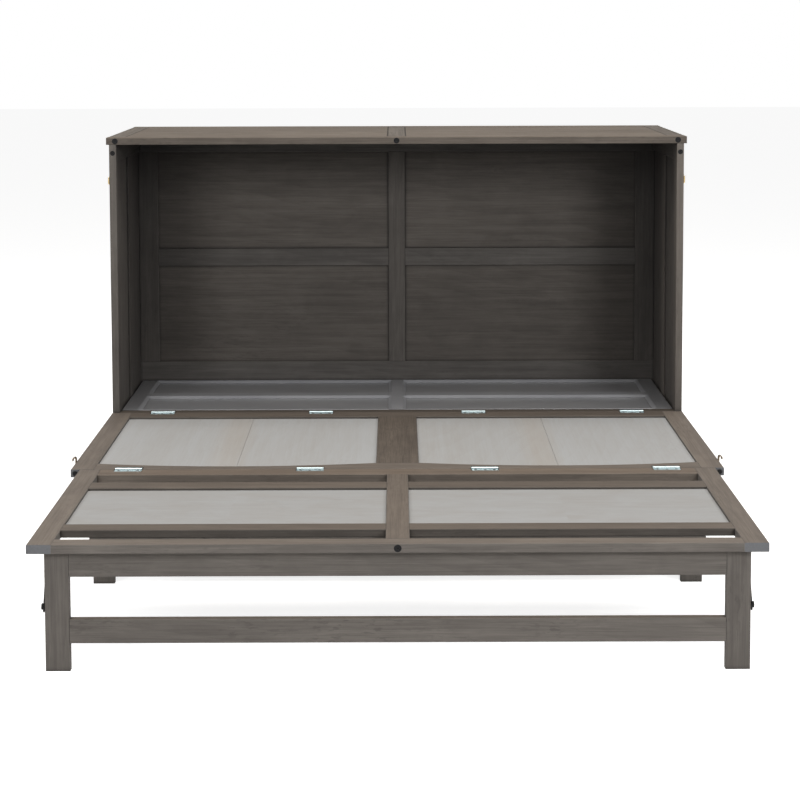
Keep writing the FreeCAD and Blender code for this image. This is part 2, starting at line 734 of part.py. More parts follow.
def make_leg_frames():
    """The frame at the foot of the bed folds back, and the one at the seam forward."""
    leaves, brackets = [], []
    for name, axis_y, turn in (("front", front_leg_axis_y, 0), ("seam", seam_leg_axis_y, 180)):
        fixed, carriers = make_leg_frame(name, axis_y, turn)
        leaves += fixed
        brackets += carriers
    save("leg_hinge_section_leaves", leaves)
    save("stay_brackets", brackets)


# --------------------------------------------------------------------- latches

# A latch is drawn with X out from the chest's right side, Y back from its front
# edge and Z up from the latch's middle.
latch_place = (half_cabinet, cabinet_front, axis_z + latch_from_hinge)
lever_pivot_out = middle_side_overhang + strike_lip_out / 2
loop_pivot = lever_pivot_back + loop_pivot_back
loop_bar_back = strike_bend_back - strike_thickness - loop_bar_play - loop_wire_radius


def make_latch_plate():
    """The base with its two ears, and the pin of the lever."""
    half = latch_plate_width / 2
    back = latch_plate_front + latch_plate_length
    plate = box((0, latch_plate_thickness), (latch_plate_front, back), (-half, half))
    ear_top = lever_pivot_out + lever_hub_radius
    pivot = (lever_pivot_out, lever_pivot_back)
    for low in (-latch_ear_outer, latch_ear_outer - latch_ear_thickness):
        z = (low, low + latch_ear_thickness)
        ear_y = across(lever_pivot_back, 2 * latch_ear_half_length)
        ear = box((0, lever_pivot_out), ear_y, z)
        ear = ear.fuse(rod("z", pivot, lever_hub_radius, z, barrel_sides))
        plate = plate.fuse(ear)
    wing = box((0, latch_plate_thickness), across(lever_pivot_back, 2 * latch_ear_half_length),
               (-latch_ear_outer, latch_ear_outer))
    plate = plate.fuse(wing).removeSplitter()
    pin = rod("z", pivot, lever_pin_radius, (-latch_ear_outer, latch_ear_outer))
    return [plate.cut(pin), pin]


def make_lever():
    """The lever: a hub on the pin, a hub on the loop, and a sheet curled at its end."""
    z = (-lever_half_width, lever_half_width)
    pivot = (lever_pivot_out, lever_pivot_back)
    joint = (lever_pivot_out, loop_pivot)
    top = lever_pivot_out + lever_hub_radius
    sheet_y = (lever_pivot_back, lever_pivot_back + lever_length - lever_curl)
    sheet = box((top - lever_sheet, top), sheet_y, z)
    block = box((lever_pivot_out - loop_wire_radius - 1, top), (lever_pivot_back, loop_pivot), z)
    hub = rod("z", pivot, lever_hub_radius, z, barrel_sides)
    second = rod("z", joint, lever_hub_radius, z, barrel_sides)
    bend_y = lever_pivot_back + lever_length - lever_curl
    centre = (top - lever_sheet + lever_curl, bend_y)
    curl = cylinder("z", centre, lever_curl, z).cut(cylinder("z", centre, lever_curl - lever_sheet, z))
    quarter = box((centre[0] - lever_curl, centre[0]), (bend_y, bend_y + lever_curl), z)
    lever = sheet.fuse([block, hub, second, curl.common(quarter)]).removeSplitter()
    holes = [rod("z", pivot, lever_pin_radius + pin_play, z),
             rod("z", joint, loop_wire_radius + pin_play, z)]
    return cut_all(lever, holes)


def make_loop():
    """The wire loop, folded back over the lever, one bar of it through the lever."""
    far = 2 * loop_pivot - loop_bar_back
    corners = [(loop_pivot, 0), (loop_pivot, loop_half_width), (far, loop_half_width),
               (far, -loop_half_width), (loop_pivot, -loop_half_width), (loop_pivot, 0)]
    path = Part.makePolygon([Vector(lever_pivot_out, y, z) for y, z in corners])
    outline = [Vector(a, b, corners[0][1])
               for a, b in polygon((lever_pivot_out, corners[0][0]), loop_wire_radius, rod_sides)]
    section = Part.makePolygon(outline + outline[:1])
    return Part.Wire(path.Edges).makePipeShell([section], True, False, 1)


def make_strike():
    """The hook on the middle section's edge, drawn with the section lying open.

    X is out from the section's edge, Y along it and Z up from its hinge axis plane.
    """
    y = across(0, strike_width)
    outer = strike_lip_out / 2
    inner = outer - strike_thickness
    bend_z = strike_bend_back - outer
    foot = box((0, strike_thickness), y, (-hinge_rise - strike_foot, bend_z))
    ring = cylinder("y", (outer, bend_z), outer, y).cut(cylinder("y", (outer, bend_z), inner, y))
    bend = ring.common(box((0, strike_lip_out), y, (bend_z, bend_z + outer)))
    lip = box((strike_lip_out - strike_thickness, strike_lip_out), y, (bend_z - strike_lip, bend_z))
    return foot.fuse([bend, lip]).removeSplitter()


def make_latches():
    """A draw latch on each side of the chest, and its hook on the middle section."""
    def on_chest(shape):
        return moved(shape, *latch_place)

    plate = [on_chest(s) for s in make_latch_plate()]
    save("latch_plates", both_sides(plate))
    for name, maker in (("latch_lever", make_lever), ("latch_loop", make_loop)):
        piece = on_chest(maker())
        save(f"right_{name}", [piece])
        save(f"left_{name}", [mirrored(piece)])
    strike = moved(make_strike(), half_middle, cabinet_front - latch_from_hinge, axis_z)
    save("strike_hooks", both_sides([strike]))


# ------------------------------------------------------------------------ main

def make_seam_hinges():
    """Two rows of four hinges in the sleeping surface."""
    rear, front, pins = seam_hinges(cabinet_front)
    save("chest_hinge_rear_leaves", rear)
    save("chest_hinge_front_leaves", front)
    save("chest_hinge_pins", pins)
    rear, front, pins = seam_hinges(fold_axis_y)
    save("fold_hinge_rear_leaves", rear)
    save("fold_hinge_front_leaves", front)
    save("fold_hinge_pins", pins)


os.makedirs("parts", exist_ok=True)
make_top()
make_side("left", lambda shape: shape)
make_side("right", mirrored)
make_back()
make_platform()
make_hinge_rail()
make_lower_front()
make_bearers()
make_middle()
make_front()
make_seam_hinges()
make_leg_frames()
make_latches()
save("connector_bolts", [connector_bolt(*b) for b in top_bolts + side_bolts])
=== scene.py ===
"""Finishes an open cabinet bed: stained timber, light boards, a painted platform and hardware."""

import math

import bmesh
import bpy
from mathutils import Euler, Matrix, Vector


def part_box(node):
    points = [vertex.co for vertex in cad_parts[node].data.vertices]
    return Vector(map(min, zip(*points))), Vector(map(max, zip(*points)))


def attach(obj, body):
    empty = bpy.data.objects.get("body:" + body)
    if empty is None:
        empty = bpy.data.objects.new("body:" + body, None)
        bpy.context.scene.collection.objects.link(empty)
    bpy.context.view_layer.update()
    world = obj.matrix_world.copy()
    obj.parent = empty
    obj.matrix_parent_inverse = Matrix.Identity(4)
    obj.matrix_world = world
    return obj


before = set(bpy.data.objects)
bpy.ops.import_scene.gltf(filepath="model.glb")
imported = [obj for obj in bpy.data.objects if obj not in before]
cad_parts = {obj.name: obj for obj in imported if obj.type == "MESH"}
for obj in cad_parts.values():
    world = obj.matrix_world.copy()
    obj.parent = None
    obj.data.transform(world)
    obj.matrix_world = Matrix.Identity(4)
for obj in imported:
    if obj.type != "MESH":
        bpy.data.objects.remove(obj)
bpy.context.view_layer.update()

bl_info = {
    "name": "Cabinet Bed",
    "version": (1, 0, 0),
    "blender": (4, 5, 0),
    "location": "View3D > Sidebar > Cabinet Bed",
    "description": "Finishes and trim for an open cabinet bed",
    "category": "Object",
}


# --- properties

def colour(name, description, default):
    """A colour that a user can change."""
    return bpy.props.FloatVectorProperty(
        name=name, description=description, default=default,
        size=3, min=0.0, max=1.0, subtype="COLOR")


def length(name, description, default):
    """A length in metres."""
    return bpy.props.FloatProperty(
        name=name, description=description, default=default,
        min=0.0, precision=4, unit="LENGTH", subtype="DISTANCE")


def angle(name, description, degrees):
    """An angle, given in degrees."""
    return bpy.props.FloatProperty(
        name=name, description=description, default=math.radians(degrees),
        subtype="ANGLE", unit="ROTATION")


def number(name, description, default, low=0.0, high=1.0):
    """A plain number."""
    return bpy.props.FloatProperty(
        name=name, description=description, default=default, min=low, max=high)


def watts(name, where, default):
    """The power of a lamp."""
    return number(name, f"Power of the {where}, in watts", default, 0.0, 5000.0)


class BedFinishes(bpy.types.PropertyGroup):
    """Colours of the bed's finishes."""

    stain_light: colour(
        "Stain, light", "Stained timber between its grain lines", (0.165, 0.150, 0.136))
    stain_dark: colour(
        "Stain, dark", "Stained timber in its grain lines", (0.098, 0.088, 0.080))
    # Painted light: faces that look up are tinted warm, standing in for warm light from above.
    sunned: colour(
        "Upper faces", "How the stain is tinted on faces that look up", (0.92, 0.85, 0.78))
    # Painted light: a warm tint on the top slab's upward faces, in place of the one above.
    slab: colour("Top slab", "How the stain is tinted on top of the slab", (1.0, 0.96, 0.905))
    # Painted shade: how much darker the chest's inner walls are made deep inside, where shade
    # falls.
    painted_deep_shade: number("Painted deep shade", "How much darker the inner corners of the chest are", 0.90)
    end_grain: colour("End grain", "Cut ends of stained boards", (0.143, 0.150, 0.163))
    board_light: colour("Light boards", "Whitewashed boards", (0.350, 0.357, 0.362))
    board_warm: colour(
        "Light boards, warm", "Warm streaks in the whitewashed boards", (0.322, 0.318, 0.310))
    heart: colour(
        "Heartwood", "How the heart of every other light board is tinted", (1.0, 0.955, 0.91))
    # Painted light: the raised frame's grey is paler than the sunk fields', which lie in painted
    # shade; both are one grey paint.
    platform: colour(
        "Platform", "Grey gloss paint of the platform's fields", (0.270, 0.275, 0.286))
    platform_frame: colour(
        "Platform frame", "Grey gloss paint of the platform's frame", (0.335, 0.342, 0.362))
    bare: colour("Bare wood", "Hidden bearers under the platform", (0.520, 0.390, 0.250))
    zinc: colour("Zinc", "Plated hinges", (0.58, 0.68, 0.70))
    screw: colour("Screws", "Steel of the hinge screws", (0.17, 0.18, 0.19))
    brass: colour("Brass", "Draw latches", (0.71, 0.55, 0.30))
    # Painted shade: the strike hooks are brass plate, given this darker colour for the shade they
    # lie in.
    bronze: colour("Bronze", "Strike hooks", (0.22, 0.17, 0.12))
    black: colour("Black steel", "Bolts, stays and brackets", (0.009, 0.009, 0.010))
    # Painted shade: the black strips in the notches behind the outer hinges share this colour with
    # the bumpers.
    rubber: colour("Rubber", "Bumpers and packing strips", (0.016, 0.016, 0.017))


class BedScrews(bpy.types.PropertyGroup):
    """Sizes of the small screws."""

    head_radius: length("Head radius", "Radius of a hinge screw's head", 0.0033)
    small_radius: length(
        "Small head radius", "Radius of a latch or bracket screw's head", 0.0022)
    proud: length("Proud", "How far a head stands out of its leaf", 0.0006)
    recess: length("Recess", "Depth of the cross recess", 0.0005)
    end_margin: length("End margin", "From the end of a leaf to its outer screws", 0.0100)
    from_edge: length(
        "From the edge", "From the free edge of a leaf to its outer screws", 0.0110)
    stagger: length("Stagger", "How much nearer the edge the middle screw sits", 0.0035)
    leaf: length("Leaf", "Thickness of a hinge leaf", 0.0020)


class BedShadeStrips(bpy.types.PropertyGroup):
    """Sizes of the black strips behind the outer hinges, which stand in for the shade in their
    notches.
    """

    play: length("Play", "Between a strip and the sides of its notch", 0.0006)
    below: length("Below the rail", "How far a strip stays below the rail's top", 0.0003)
    depth: length("Depth", "Height of a strip, ribs included", 0.0110)
    rib: length("Rib", "Height of a rib", 0.0008)
    ribs: bpy.props.IntProperty(
        name="Ribs", description="How many ribs run along a strip", default=4, min=1, max=12)


class BedStage(bpy.types.PropertyGroup):
    """Camera and lights."""

    camera_gap: length("Camera distance", "From the chest's front edge to the camera", 5.8405)
    camera_height: length("Camera height", "From the floor to the camera", 1.380)
    pitch: angle("Pitch", "How far the camera looks down", 4.785)
    yaw: angle("Yaw", "How far the camera looks to the right", 0.092)
    roll: angle("Roll", "How far the camera leans to the right", 0.156)
    lens: number("Lens", "Focal length in millimetres, for a 36 mm sensor", 92.88, 1.0, 300.0)
    shift: number("Shift", "Vertical shift of the picture", -0.25, -1.0, 1.0)
    sky: number("Sky", "Strength of the even light all round", 0.15, 0.0, 5.0)
    left_lamp: watts("Left lamp", "large lamp in front on the left", 40.0)
    right_lamp: watts("Right lamp", "large lamp in front on the right", 56.0)
    rear_lamp: watts("Rear lamp", "lamp behind", 40.0)
    top_colour: colour("Top lamp's colour", "Colour of the lamp overhead", (1.0, 0.955, 0.90))
    top_lamp: watts("Top lamp", "lamp overhead", 190.0)
    floor: colour("Floor", "Plain floor", (0.80, 0.80, 0.80))
    floor_lift: number(
        "Floor lift", "How much the floor is lifted towards white for the camera", 0.82)


# --- shader helpers

NUMBER, COLOUR, VECTOR = "NodeSocketFloat", "NodeSocketColor", "NodeSocketVector"
RISING, FALLING = (0.0, 1.0), (1.0, 0.0)

# Where each effect begins and where it is full.
SPANS = {
    "all": (0.0, 1.0),
    "noise": (0.30, 0.70),
    "arris": (0.80, 0.99),
    "corner": (0.50, 0.95),
    "tone": (0.24, 0.76),
    "heart": (0.045, 0.095),
    "patch": (0.50, 0.66),
    "dash": (0.54, 0.64),
    "pore": (0.38, 0.50),
    "fibre": (0.30, 0.50),
    "joint": (0.5, 1.0),
    "cut end": (0.75, 0.95),
    "upward": (0.6, 0.9),
    "deep inside": (0.45, 0.90),
    "above platform": (0.0, 0.55),
    "paint end": (0.0, 0.012),
}

# Each noise: its scale along the grain and across it, its detail, roughness and distortion.
NOISES = {
    "broad": (1.2, 8.0, 2.0, 0.55, 0.0),
    "streak": (2.2, 85.0, 5.0, 0.7, 0.0),
    "fine": (9.0, 520.0, 2.0, 0.6, 0.0),
    "blotch": (9.0, 17.0, 4.0, 0.6, 0.6),
    "bend": (1.3, 3.0, 1.5, 0.55, 0.0),
    "patch": (4.0, 9.0, 1.0, 0.55, 0.0),
    "dash": (45.0, 170.0, 2.0, 0.55, 0.0),
    "speck": (300.0, 300.0, 2.0, 0.55, 0.0),
    "plating cloud": (120.0, 120.0, 3.0, 0.55, 0.0),
    "plating scratch": (60.0, 2600.0, 2.0, 0.55, 0.0),
    "paint cloud": (4.0, 9.0, 3.0, 0.55, 0.0),
    "paint pebble": (420.0, 420.0, 2.0, 0.55, 0.0),
    "paint line": (5.0, 260.0, 2.0, 0.55, 0.0),
}


def add_node(tree, kind, inputs=None, **settings):
    """A node with its settings and inputs; an input that is a socket gets linked."""
    node = tree.nodes.new(kind)
    for key, value in settings.items():
        setattr(node, key, value)
    for key, value in (inputs or {}).items():
        if isinstance(value, bpy.types.NodeSocket):
            tree.links.new(value, node.inputs[key])
        else:
            node.inputs[key].default_value = value
    return node


def empty_tree(owner):
    """The emptied node tree of a material or a world."""
    owner.use_nodes = True
    owner.node_tree.nodes.clear()
    return owner.node_tree


def calc(tree, operation, *values):
    """What a Math node makes of some values."""
    node = add_node(tree, "ShaderNodeMath", dict(enumerate(values)), operation=operation)
    return node.outputs[0]


def times(tree, a, b):
    """One value times another."""
    return calc(tree, "MULTIPLY", a, b)


def gap(tree, a, b):
    """How far apart two values are."""
    return calc(tree, "ABSOLUTE", calc(tree, "SUBTRACT", a, b))


def calc_vector(tree, operation, *values):
    """The vector that a Vector Math node makes of some values."""
    node = add_node(tree, "ShaderNodeVectorMath", dict(enumerate(values)), operation=operation)
    return node.outputs[0]


def parts_of(tree, vector):
    """The X, Y and Z of a vector."""
    return add_node(tree, "ShaderNodeSeparateXYZ", {0: vector}).outputs


def noise(group, given, name, seed):
    """One of the noises at a group's position, stretched along the grain."""
    along, across, detail, roughness, distortion = NOISES[name]
    place = calc_vector(group, "MULTIPLY", given["Position"], (along, across, across))
    return add_node(
        group, "ShaderNodeTexNoise",
        {"Vector": place, "W": seed, "Scale": 1.0, "Detail": detail, "Roughness": roughness,
         "Distortion": distortion}, noise_dimensions="4D").outputs["Fac"]


def spread(tree, value, span, to=RISING):
    """A value stretched from one of the spans to another range, kept inside it."""
    low, high = SPANS[span]
    return add_node(
        tree, "ShaderNodeMapRange",
        {"Value": value, "From Min": low, "From Max": high, "To Min": to[0], "To Max": to[1]},
    ).outputs[0]


def sum_of(tree, *terms):
    """The sum of each value times its weight."""
    total, *others = [times(tree, value, weight) for value, weight in terms]
    for other in others:
        total = calc(tree, "ADD", total, other)
    return total


def blend(tree, factor, a, b, blend_type="MIX"):
    """Two colours mixed by a factor."""
    return add_node(tree, "ShaderNodeMix", {0: factor, 6: a, 7: b},
                    data_type="RGBA", blend_type=blend_type).outputs[2]


def tinted(tree, base, tint):
    """A colour times a tint."""
    return blend(tree, 1.0, base, tint, "MULTIPLY")


def openness(tree, reach, samples):
    """How open a point is to its surroundings within a reach."""
    return add_node(
        tree, "ShaderNodeAmbientOcclusion", {"Distance": reach}, samples=samples).outputs["AO"]


def kind_of(default):
    """The kind of socket that holds a default: a number, a vector or a colour."""
    if isinstance(default, float):
        return NUMBER
    return VECTOR if len(default) == 3 else COLOUR


def new_group(name, inputs, outputs):
    """An empty shader group with named sockets, what it is given and where its results go."""
    group = bpy.data.node_groups.new(name, "ShaderNodeTree")
    for label, default in inputs.items():
        socket = group.interface.new_socket(
            name=label, in_out="INPUT", socket_type=kind_of(default))
        socket.default_value = default
    for label, kind in outputs.items():
        group.interface.new_socket(name=label, in_out="OUTPUT", socket_type=kind)
    given = group.nodes.new("NodeGroupInput").outputs
    return group, given, group.nodes.new("NodeGroupOutput").inputs


def put_out(group, results, **values):
    """The group, once its results are linked to values."""
    for name, value in values.items():
        group.links.new(value, results[name])
    return group


# --- shader groups

SURFACE = {"Colour": COLOUR, "Roughness": NUMBER, "Height": NUMBER}
NOWHERE = 9.0  # a coordinate beyond the bed
ORIGIN, WHITE = (0, 0, 0), (1, 1, 1, 1)
TIMBER_INPUTS = {
    "Place": ORIGIN, "Start": ORIGIN, "Member": (10, 10, 10), "Position": ORIGIN,
    "Facing": ORIGIN, "Light": WHITE, "Dark": WHITE, "End": WHITE, "Seed": 0.0, "Streaks": 0.5,
    "Figure": 0.2, "Blotches": 0.4, "Flecks": 0.5, "Pores": 0.4, "Unevenness": 0.2,
    "Sunned": WHITE, "Deep": 0.0, "Heart": 0.0, "Heartwood": WHITE, "Joints": 0.0,
    "Joint Places": (NOWHERE,) * 3, "Joint Width": 0.002, "Floor of Chest": 0.28,
}

BROAD_WEIGHT = 0.30
DRAW_RANGE = 40.0  # how far apart the seeds of a node's members may lie
RING_STRETCH, RING_LIFT = (0.10, 1.0, 1.0), (0.0, 0.16, 0.16)
RINGS = {"Scale": 15.0, "Distortion": 0.8, "Detail": 2.0, "Detail Scale": 1.4,
         "Detail Roughness": 0.6}
HEART_CENTRE = 0.462  # within each pair of boards
HEART_WANDER = 0.05
DEEP_FLECK_TINT = (0.55, 0.55, 0.56, 1)
# Dark lines: real joints on the top slab, painted shade on the front slats and the hinge rail.
JOINT_AND_SHADE_COLOUR = (0.015, 0.014, 0.012, 1)
SPECK_STRENGTH = 0.35
# Painted shade deep inside the chest: its reach, how much of it stays at the platform, and its
# tint.
PAINTED_SHADE_REACH = 0.30
PAINTED_SHADE_AT_PLATFORM = 0.35
PAINTED_SHADE_TINT = (0.30, 0.30, 0.32, 1)
TIMBER_ROUGHNESS = (0.78, 0.66)
FIBRE_HEIGHT, STREAK_HEIGHT = 0.6, 0.4
EDGE_SAMPLES, DEPTH_SAMPLES = 4, 6

PLATING_TINT = (0.78, 0.79, 0.80, 1)
PLATING_ROUGHNESS = (-0.06, 0.08)
CLOUD_SEED, SCRATCH_SEED = 2.0, 5.0
CLOUD_HEIGHT, SCRATCH_HEIGHT = 0.5, 0.5

PAINT_TINT = (0.82, 0.82, 0.84, 1)
PAINT_END_SHADE_TINT = (0.60, 0.60, 0.60, 1)
PAINT_ROUGHNESS = (-0.02, 0.03)
COAT_SEED, PEBBLE_SEED, LINE_SEED = 1.0, 3.0, 4.0
PEBBLE_HEIGHT, LINE_HEIGHT = 0.9, 0.1


def build_edges_group():
    """Where surfaces meet: arrises eased and rubbed, inner corners dark with stain, dust and
    painted shade.
    """
    group, given, results = new_group(
        "Edges", {"Radius": 0.0012, "Reach": 0.009},
        {"Normal": VECTOR, "Rubbed": NUMBER, "Corner": NUMBER})
    eased = add_node(group, "ShaderNodeBevel", {"Radius": given["Radius"]},
                     samples=EDGE_SAMPLES).outputs[0]
    flat = add_node(group, "ShaderNodeNewGeometry").outputs["Normal"]
    match = add_node(group, "ShaderNodeVectorMath", {0: eased, 1: flat},
                     operation="DOT_PRODUCT").outputs["Value"]
    # Inner corners darkened: dust, and painted shade where surfaces meet.
    corner = spread(group, openness(group, given["Reach"], EDGE_SAMPLES), "corner", FALLING)
    arris = spread(group, match, "arris", FALLING)
    rubbed = times(group, arris, calc(group, "SUBTRACT", 1.0, corner))
    return put_out(group, results, Normal=eased, Rubbed=rubbed, Corner=corner)


def build_timber_group():
    """Planed and stained timber, its grain along X: streaks, heartwood, joint lines and painted
    shade lines, cut ends, painted light on upward faces and painted shade deep inside the chest.
    """
    group, given, results = new_group("Timber", TIMBER_INPUTS, SURFACE)
    from_start = calc_vector(group, "SUBTRACT", given["Place"], given["Start"])
    counted = calc_vector(group, "DIVIDE", from_start, given["Member"])
    member = calc_vector(group, "FLOOR", counted)
    draw = add_node(group, "ShaderNodeTexWhiteNoise", {"Vector": member, "W": given["Seed"]},
                    noise_dimensions="4D").outputs["Value"]
    seed = sum_of(group, (draw, DRAW_RANGE), (given["Seed"], 1.0))
    streak = noise(group, given, "streak", seed)
    fine = noise(group, given, "fine", seed)

    tone = stain_tone(group, given, streak, draw, seed)
    body = blend(group, tone, given["Dark"], given["Light"])
    body = add_heartwood(group, given, body, counted, streak)
    body = add_flecks(group, given, body, fine, seed)
    body = add_joint_and_shade_lines(group, given, body)
    body = add_cut_ends(group, given, body, seed)
    body = add_painted_light_and_shade(group, given, body)

    rough = spread(group, fine, "noise", TIMBER_ROUGHNESS)
    fibre = spread(group, fine, "fibre")
    height = sum_of(group, (fibre, FIBRE_HEIGHT), (streak, STREAK_HEIGHT))
    return put_out(group, results, Colour=body, Roughness=rough, Height=height)


def stain_tone(group, given, streak, draw, seed):
    """How light the stain is, from its streaks, figure and blotches, member by member."""
    broad, blotch = noise(group, given, "broad", seed), noise(group, given, "blotch", seed)
    stretched = calc_vector(group, "MULTIPLY", given["Position"], RING_STRETCH)
    lift = calc_vector(group, "MULTIPLY", noise(group, given, "bend", seed), RING_LIFT)
    warped = calc_vector(group, "ADD", stretched, lift)
    rings = add_node(
        group, "ShaderNodeTexWave", dict(RINGS, **{"Vector": warped, "Phase Offset": seed}),
        wave_type="BANDS", bands_direction="DIAGONAL", wave_profile="SAW").outputs["Fac"]
    tone = sum_of(group, (spread(group, streak, "noise"), given["Streaks"]),
                  (rings, given["Figure"]),
                  (spread(group, blotch, "noise"), given["Blotches"]),
                  (spread(group, broad, "noise"), BROAD_WEIGHT))
    strengths = [(given[label], 1.0) for label in ("Streaks", "Figure", "Blotches")]
    weights = calc(group, "ADD", sum_of(group, *strengths), BROAD_WEIGHT)
    shift = times(group, spread(group, draw, "all", (-1.0, 1.0)), given["Unevenness"])
    even = calc(group, "DIVIDE", tone, weights)
    return spread(group, sum_of(group, (even, 1.0), (shift, 1.0)), "tone")


def add_heartwood(group, given, body, counted, streak):
    """The colour with a streak of heartwood near the middle of each pair of boards."""
    in_pair = calc(group, "FRACT", times(group, parts_of(group, counted)[0], 0.5))
    off = gap(group, in_pair, HEART_CENTRE)
    off = sum_of(group, (off, 1.0), (streak, HEART_WANDER))
    heart = times(group, spread(group, off, "heart", FALLING), given["Heart"])
    return blend(group, heart, body, tinted(group, body, given["Heartwood"]))


def add_flecks(group, given, body, fine, seed):
    """The colour with dark flecks in patches and fine dark pores."""
    patch = spread(group, noise(group, given, "patch", seed), "patch")
    dash = spread(group, noise(group, given, "dash", seed), "dash")
    fleck = times(group, times(group, patch, dash), given["Flecks"])
    body = blend(group, fleck, body, tinted(group, given["Dark"], DEEP_FLECK_TINT))
    pore = times(group, spread(group, fine, "pore", FALLING), given["Pores"])
    return blend(group, pore, body, given["Dark"])


def add_joint_and_shade_lines(group, given, body):
    """The colour with dark lines at two distances from the bed's middle and one place along Y:
    real joints on the slab, painted shade on the slats and the hinge rail.
    """
    spot, joints = parts_of(group, given["Place"]), parts_of(group, given["Joint Places"])
    sideways = calc(group, "ABSOLUTE", spot[0])
    nearest = None
    for value, joint in ((sideways, joints[0]), (sideways, joints[1]), (spot[1], joints[2])):
        away = gap(group, value, joint)
        nearest = away if nearest is None else calc(group, "MINIMUM", nearest, away)
    share = calc(group, "DIVIDE", nearest, given["Joint Width"])
    line = times(group, spread(group, share, "joint", FALLING), given["Joints"])
    return blend(group, line, body, JOINT_AND_SHADE_COLOUR)


def add_cut_ends(group, given, body, seed):
    """The colour with end grain where a face looks along the grain."""
    along = calc(group, "ABSOLUTE", parts_of(group, given["Facing"])[0])
    speck = noise(group, given, "speck", seed)
    ends = blend(group, spread(group, speck, "noise", (0.0, SPECK_STRENGTH)),
                 given["End"], given["Dark"])
    return blend(group, spread(group, along, "cut end"), body, ends)


def add_painted_light_and_shade(group, given, body):
    """The colour with painted warm light on faces that look up, and painted shade deep inside the
    chest, with less of it near the platform.
    """
    normal = add_node(group, "ShaderNodeTexCoord").outputs["Normal"]
    upward = spread(group, parts_of(group, normal)[2], "upward")
    # Painted light: faces that look up are tinted warm.
    body = blend(group, upward, body, tinted(group, body, given["Sunned"]))
    # Painted shade: darker deep inside the chest, where shade falls.
    inside = spread(group, openness(group, PAINTED_SHADE_REACH, DEPTH_SAMPLES), "deep inside", FALLING)
    # Painted light: less of that shade near the platform, which bounces light up.
    height = parts_of(group, given["Place"])[2]
    above = calc(group, "SUBTRACT", height, given["Floor of Chest"])
    depth = times(group, times(group, inside, given["Deep"]),
                 spread(group, above, "above platform", (PAINTED_SHADE_AT_PLATFORM, 1.0)))
    return blend(group, depth, body, tinted(group, body, PAINTED_SHADE_TINT))


def build_metal_group():
    """Plated metal: faint scratches, cloudy plating."""
    inputs = {"Position": ORIGIN, "Base": (0.5, 0.5, 0.5, 1), "Cloud": 0.15, "Sheen": 0.35}
    group, given, results = new_group("Plating", inputs, SURFACE)
    cloud = noise(group, given, "plating cloud", CLOUD_SEED)
    scratch = noise(group, given, "plating scratch", SCRATCH_SEED)
    amount = times(group, spread(group, cloud, "noise"), given["Cloud"])
    plate = blend(group, amount, given["Base"], tinted(group, given["Base"], PLATING_TINT))
    rough = calc(group, "ADD", spread(group, scratch, "noise", PLATING_ROUGHNESS), given["Sheen"])
    height = sum_of(group, (scratch, SCRATCH_HEIGHT), (cloud, CLOUD_HEIGHT))
    return put_out(group, results, Colour=plate, Roughness=rough, Height=height)


def build_paint_group():
    """Sprayed paint: a fine pebble, faint lines along the board, uneven gloss, painted shade at
    the ends near the side walls.
    """
    inputs = {"Position": ORIGIN, "Base": (0.2, 0.2, 0.2, 1), "Sheen": 0.3, "Ends": NOWHERE}
    group, given, results = new_group("Gloss Paint", inputs, SURFACE)
    cloud = noise(group, given, "paint cloud", COAT_SEED)
    pebble = noise(group, given, "paint pebble", PEBBLE_SEED)
    line = noise(group, given, "paint line", LINE_SEED)
    coat = blend(group, spread(group, cloud, "noise"), given["Base"],
                 tinted(group, given["Base"], PAINT_TINT))
    # Painted shade: the paint darkens past the ends of the fields, next to the side walls.
    sideways = calc(group, "ABSOLUTE", parts_of(group, given["Position"])[0])
    past = calc(group, "SUBTRACT", sideways, given["Ends"])
    coat = blend(group, spread(group, past, "paint end"), coat,
                 tinted(group, coat, PAINT_END_SHADE_TINT))
    rough = calc(group, "ADD", spread(group, line, "noise", PAINT_ROUGHNESS), given["Sheen"])
    height = sum_of(group, (pebble, PEBBLE_HEIGHT), (line, LINE_HEIGHT))
    return put_out(group, results, Colour=coat, Roughness=rough, Height=height)


# --- materials

GRAIN_TURNS = {
    "X": (0.0, 0.0, 0.0), "Y": (0.0, 0.0, -math.pi / 2), "Z": (0.0, math.pi / 2, 0.0)}

# Each style: how strong its bump is and how high; the radius of its arrises, how rubbed they are
# and how dark inner corners are with dust and painted shade; and the shader's own values.
STYLES = {
    "timber": ((0.35, 0.0005), (0.0012, 0.25, 0.6), {"Specular IOR Level": 0.3}),
    "slab": ((0.35, 0.0005), (0.0012, 0.25, 0.6), {"Specular IOR Level": 0.05}),
    "board": ((0.2, 0.0003), (0.0012, 0.1, 0.25), {"Specular IOR Level": 0.35}),
    "paint": ((0.05, 0.0002), (0.003, 0.0, 0.5), {"Coat Weight": 0.5, "Coat Roughness": 0.16}),
}
METAL_BUMP = (0.15, 0.0002)
METAL_ARRIS, METAL_CORNER = 0.0004, 0.4

WORN_COLOUR = (0.55, 0.53, 0.50, 1)
WORN_SHARE = 0.5
# Dust and painted shade in inner corners.
DUST_AND_SHADE_COLOUR = (0.012, 0.011, 0.010, 1)


